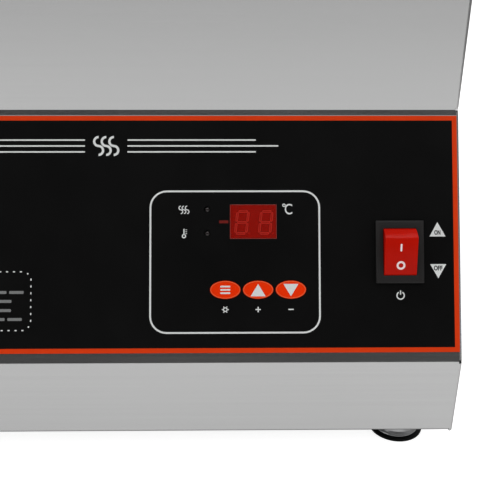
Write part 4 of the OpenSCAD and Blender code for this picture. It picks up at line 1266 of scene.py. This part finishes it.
@dataclass
class Pans:
    """The two lift-out pans, their lids and knobs."""

    shop: Workshop
    pitch_mm: float = 177.0
    middle_y_mm: float = 23.0
    pan_mm: Point = (176.0, 325.0)
    rim_mm: float = 250.0
    deep_mm: float = 99.2
    wall_mm: float = 0.8
    skirt_mm: float = 2.6
    knob_foot_mm: float = 257.8
    knob_mm: tuple[Point, ...] = (
        (0.0, 0.0), (8.0, 0.0), (8.2, 0.8), (7.4, 3.0), (6.5, 6.0), (6.6, 9.0), (8.6, 11.6), (12.2, 13.4),
        (14.6, 15.2), (15.9, 18.0), (15.6, 21.2), (13.6, 23.8), (10.0, 25.3), (5.0, 25.9), (0.0, 26.0))

    def build(self) -> None:
        """Make both pans with their lids."""
        pan_steps = [*arc_steps(2.0, 0, 85, 5, -1.0), (7.7, 9.6 - self.deep_mm),
                     *arc_steps(8.5, 85, 0, 6, -1.0), (4.0, 0.0)]
        lid_steps = [*arc_steps(1.6, 0, 66, 4), (1.1, 4.9), *arc_steps(1.9, 66, 0, 5), (4.0, 0.0)]
        half = self.wall_mm / 2
        for side, name in ((-1, "left"), (1, "right")):
            place = Matrix.Translation((side * self.pitch_mm / 2 * MM, self.middle_y_mm * MM, 0.0))
            self.sheet(f"{name}_pan", "drawn", PAN_STEEL, (self.wall_mm, 14.6), (21.8, 25.6), pan_steps,
                       self.rim_mm - half, place)
            self.sheet(f"{name}_lid", "pressed", LID_STEEL, (3.8, 13.1), (44.0, 15.0), lid_steps,
                       self.rim_mm + half, place)
            self.knob(name, place)

    def sheet(self, node: str, made_by: str, finish: Finish, rim: Point, floor: Point,
              steps: Sequence[Point], high: float, place: Matrix) -> None:
        """Make one pan or lid from a flat sheet.

        Args:
            node: The node it stands for, which is also its body.
            made_by: The last word of its name.
            finish: Its finish.
            rim: How much smaller than the pan it is, and its corner radius.
            floor: The same for the part that is pressed.
            steps: How that part is pressed.
            high: The height of the rim.
            place: Where the pan stands.
        """
        bm = bmesh.new()
        faces = [flat_plate(bm, self.pan_mm[0] - less, self.pan_mm[1] - less, radius, CENTRE, 8)
                 for less, radius in (rim, floor)]
        outer, inner = (list(face.edges) for face in faces)
        bmesh.ops.delete(bm, geom=faces[:1], context="FACES_ONLY")
        bmesh.ops.bridge_loops(bm, edges=outer + inner)
        if finish is PAN_STEEL:
            shift(bm, vertices(bmesh.ops.extrude_edge_only(bm, edges=outer)), z=-self.skirt_mm)
        drawn(bm, faces[1], steps)
        shift(bm, bm.verts, z=high)
        bmesh.ops.recalc_face_normals(bm, faces=bm.faces)
        made = self.shop.piece(bm, f"{node}_{made_by}", node, "pan_steel", [finish], [node], 60.0, place)
        wall = made.modifiers.new("wall", "SOLIDIFY")
        wall.thickness = (self.wall_mm - 0.05) * MM
        wall.offset = 0.0

    def knob(self, name: str, place: Matrix) -> None:
        """Make one turned knob.

        Args:
            name: left or right.
            place: Where the pan stands.
        """
        bm = lathe(self.knob_mm, 48)
        shift(bm, bm.verts, z=self.knob_foot_mm)
        self.shop.piece(bm, f"{name}_knob_turned", f"{name}_lid", "black_plastic", [KNOB_PLASTIC],
                        [f"{name}_lid_knob"], 60.0, place)
        self.shop.dress(SCREW_STEEL, f"{name}_knob_screw")


@dataclass
class WaterBath:
    """The tank, its heater, its probe and the wool round it."""

    shop: Workshop

    def build(self) -> None:
        """Dress the bath's nodes."""
        dress = self.shop.dress
        dress(PLAIN_STEEL, "water_tank", "element_clips", "cutout_bracket")
        dress(WOOL, "tank_insulation")
        dress(ELEMENT_STEEL, "heating_element")
        dress(BRASS, "element_nuts", "probe_nut")
        dress(SILICONE, "element_gaskets")
        dress(SCREW_STEEL, "temperature_probe")
        dress(BLACK_PLASTIC, "overheat_cutout")


@dataclass
class Electrics:
    """The boards, their parts and the leads between them."""

    shop: Workshop

    def build(self) -> None:
        """Dress the electrics' nodes."""
        dress = self.shop.dress
        dress(BOARD_GREEN, "control_board", "power_board")
        dress(BRASS, "board_spacers", "power_board_spacers", "earth_stud")
        dress(SCREW_STEEL, "board_screws")
        dress(SWITCH_PLASTIC, "key_switches")
        dress(CORE_GREY, "transformer")
        dress(RELAY_BLUE, "relays")
        dress(WHITE_PLASTIC, "board_connectors", "terminal_block")
        dress(LEAD_BROWN, "mains_leads")
        dress(LEAD_RED, "heater_leads")
        dress(LEAD_WHITE, "probe_lead")
        dress(LEAD_GREY, "display_lead")
        dress(LEAD_GREEN, "earth_lead")


@dataclass
class RearGland:
    """The gland that a mains cord would come through."""

    shop: Workshop

    def build(self) -> None:
        """Round the gland's edges and dress its seal."""
        self.shop.softened("cable_gland", "cable_gland_moulding", "black_plastic", BLACK_PLASTIC, 0.5)
        self.shop.dress(RUBBER, "gland_seal")
        self.shop.dress(BLACK_PLASTIC, "gland_nut")


@dataclass
class Feet:
    """The four rubber feet in their pressed steel cups."""

    shop: Workshop
    x_mm: float = 159.6
    y_mm: Point = (-188.0, 174.0)
    pad_mm: tuple[Point, ...] = (
        (4.8, 0.0), (14.7, 0.0), (15.1, 0.2), (15.2, 0.55), (15.05, 0.85), (15.05, 1.0), (15.15, 1.2),
        (14.95, 1.65), (14.5, 1.8), (8.0, 1.8), (8.0, 15.2), (2.55, 15.2), (2.55, 6.0), (4.8, 6.0))
    cup_mm: tuple[Point, ...] = (
        (12.75, 1.8), (12.95, 2.05), (12.85, 2.45), (12.3, 2.85), (11.7, 3.4), (11.2, 4.6), (10.6, 8.0),
        (10.05, 12.0), (9.75, 14.6), (9.3, 15.8), (8.4, 16.2), (2.55, 16.2), (2.55, 15.25), (8.0, 15.25),
        (8.6, 14.6), (9.4, 9.5), (10.2, 4.4), (10.9, 3.0), (11.6, 2.2), (11.9, 1.8))

    def build(self) -> None:
        """Make the rubber pads and the cups, and dress the screws and nuts."""
        places = [Matrix.Translation((x * MM, y * MM, 0.0))
                  for x in (-self.x_mm, self.x_mm) for y in self.y_mm]
        for outline, name, slot, finish, node in (
                (self.pad_mm, "foot_pads", "foot_rubber", RUBBER, "foot_rubbers"),
                (self.cup_mm, "foot_pressed_cups", "cup_steel", CUP_STEEL, "foot_cups")):
            bm = lathe(outline, 64)
            copies(bm, places)
            self.shop.piece(bm, name, "cabinet", slot, [finish], [node], 50.0)
        self.shop.dress(SCREW_STEEL, "foot_screws", "foot_nuts")


def hang(thing: bpy.types.Object, place: Vector, back: Vector) -> None:
    """Hang a lamp or a card.

    Args:
        thing: The lamp or card.
        place: Where it hangs.
        back: The way its back faces.
    """
    thing.location = place
    thing.rotation_mode = "QUATERNION"
    thing.rotation_quaternion = back.to_track_quat("Z", "Y")


@dataclass
class Studio:
    """The floor, the lamps, the world and the camera."""

    eye: Triple = (0.070135, -0.516547, 0.263701)
    pitch: float = 24.70
    yaw: float = 0.8014
    roll: float = -0.1991
    lens: float = 50.4935
    sensor: float = 36.0
    aim: Triple = (0.0, 0.0, 0.1)
    side_lamp: Triple = (1.7, -1.0, 0.9)
    world_light: float = 0.42
    floor_seen: float = 0.85
    floor_mirrored: float = 0.5
    # The cabinet's footprint on the floor, and the edge width of the painted shadow that glosses see there.
    cabinet_half: Point = (0.185, 0.205)
    cabinet_back: float = 0.007
    painted_shadow_edge: float = 0.008
    front_card_rise: float = 30.0

    def build(self) -> None:
        """Make the whole studio."""
        self.camera()
        self.world()
        self.floor()
        ahead = Vector((0.0, -math.cos(math.radians(self.front_card_rise)),
                        math.sin(math.radians(self.front_card_rise))))
        self.card("front_card", (6800.0, 2750.0), Vector((0.7, -0.18, 0.11)) + ahead * 3.0, ahead, 0.2)
        self.card("side_card", (2000.0, 700.0), Vector((0.95, -0.35, 0.36)), Vector((1.0, 0.0, 0.0)), 0.4)
        x, y, z = self.side_lamp
        self.lamp("overhead_lamp", (0.0, 0.1, 1.9), 1.8, 20.0, True)
        self.lamp("left_lamp", (-x, y, z), 1.2, 12.0, False)
        self.lamp("right_lamp", (x, y, z), 1.2, 12.0, False)
        bpy.context.scene.view_settings.view_transform = "Standard"

    def camera(self) -> None:
        """Set the camera where the photograph was taken from."""
        pitch, yaw, roll = (math.radians(angle) for angle in (self.pitch, self.yaw, self.roll))
        ahead = Vector((math.sin(yaw) * math.cos(pitch), math.cos(yaw) * math.cos(pitch), -math.sin(pitch)))
        level = Vector((math.cos(yaw), -math.sin(yaw), 0.0))
        down = ahead.cross(level)
        right = level * math.cos(roll) + down * math.sin(roll)
        below = down * math.cos(roll) - level * math.sin(roll)
        data = bpy.data.cameras.new("camera")
        data.lens, data.sensor_width = self.lens, self.sensor
        data.clip_start, data.clip_end = 0.01, 50.0
        camera = new_object("camera", data)
        turned = Matrix((right, -below, -ahead)).transposed().to_4x4()
        camera.matrix_world = Matrix.Translation(self.eye) @ turned
        bpy.context.scene.camera = camera

    def seen_directly(self, nodes: Nodes, seen: float, mirrored: object) -> Socket:
        """Give one strength to the camera and one to glosses and see-through surfaces.

        Args:
            nodes: The tree.
            seen: The strength for camera rays.
            mirrored: The strength for glossy and transmission rays, a number or a socket.

        Returns:
            The strength, 0 for all other rays.
        """
        path = nodes.add("LightPath").outputs
        other = nodes.math("MAXIMUM", path["Is Glossy Ray"], path["Is Transmission Ray"])
        return nodes.math("MAXIMUM", nodes.math("MULTIPLY", path["Is Camera Ray"], seen),
                          nodes.math("MULTIPLY", other, mirrored))

    def world(self) -> None:
        """Make the world white to the eye and plain grey as a light."""
        world = bpy.data.worlds.new("studio")
        bpy.context.scene.world = world
        world.use_nodes = True
        world.node_tree.nodes.clear()
        nodes = Nodes(world.node_tree)
        soft, white = (nodes.result("Background", Color=WHITE, Strength=strength)
                       for strength in (self.world_light, 1.0))
        mixed = nodes.result("MixShader", self.seen_directly(nodes, 1.0, 1.0), soft, white)
        nodes.add("OutputWorld", Surface=mixed)

    def floor(self) -> None:
        """Lay the pale floor, whose glow in glosses is painted out over the cabinet's footprint as a painted
        shadow.
        """
        made = Surface("pale_floor", Roughness=0.9, Specular_IOR_Level=0.1)
        made.tint(made.effect(Effect.MOTTLE, even(3.0)), even(1.0), 0.54, 0.56)
        # Painted shadow: the floor's glow in glosses fades to nothing over the cabinet's footprint, for the
        # shade under it; the camera still sees the full glow.
        place = made.add("SeparateXYZ", Vector=made.add("TexCoord").outputs["Object"]).outputs
        ahead = made.math("ADD", place["Y"], self.cabinet_back)
        beside, beyond = (made.math("SUBTRACT", made.math("ABSOLUTE", value, 0.0), half)
                          for value, half in zip((place["X"], ahead), self.cabinet_half))
        clear = made.result("MapRange", Value=made.math("MAXIMUM", beside, beyond),
                            From_Min=0.0, From_Max=self.painted_shadow_edge)
        mirrored = made.math("MULTIPLY", clear, self.floor_mirrored)
        strength = self.seen_directly(made, self.floor_seen, mirrored)
        glow = made.result("Emission", Color=WHITE, Strength=strength)
        both = made.result("AddShader", made.shader.outputs[0], glow)
        made.feed(made.tree.nodes["Material Output"].inputs["Surface"], both)
        bm = bmesh.new()
        flat_plate(bm, 12000.0, 12000.0)
        floor = mesh_object(bm, "floor", [made.material])

    def card(self, name: str, size_mm: Point, place: Vector, back: Vector, tone: float) -> None:
        """Hang a card that only glosses show.

        Args:
            name: The card's name.
            size_mm: Its width and height.
            place: Its middle.
            back: The way its back faces.
            tone: How pale its felt is.
        """
        made = Surface(f"{name}_felt", Roughness=1.0)
        made.tint(made.effect(Effect.MOTTLE, even(30.0)), even(tone), 0.95, 1.05)
        bm = bmesh.new()
        flat_plate(bm, *size_mm)
        card = mesh_object(bm, name, [made.material])
        hang(card, place, back)
        for ray in ("camera", "diffuse", "transmission", "shadow", "volume_scatter"):
            setattr(card, f"visible_{ray}", False)

    def lamp(self, name: str, place: Triple, size: float, power: float, mirrored: bool) -> None:
        """Hang one soft lamp.

        Args:
            name: The lamp's name.
            place: Where it hangs.
            size: The side of its square face.
            power: Its power in watts.
            mirrored: Whether glosses show it.
        """
        data = bpy.data.lights.new(name, "AREA")
        data.size, data.energy = size, power
        lamp = new_object(name, data)
        lamp.visible_glossy = mirrored
        hang(lamp, Vector(place), Vector(place) - Vector(self.aim))


def main() -> None:
    """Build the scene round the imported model."""
    logging.basicConfig(level=logging.INFO, format="%(name)s: %(message)s")
    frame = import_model()
    shop = Workshop(frame["nodes"])
    Studio().build()
    for part in (Cabinet, ControlPanel, RockerSwitch, Pans, WaterBath, Electrics, RearGland, Feet):
        part(shop).build()
        LOG.info("finished the %s", part.__name__)


if __name__ == "__main__":
    main()
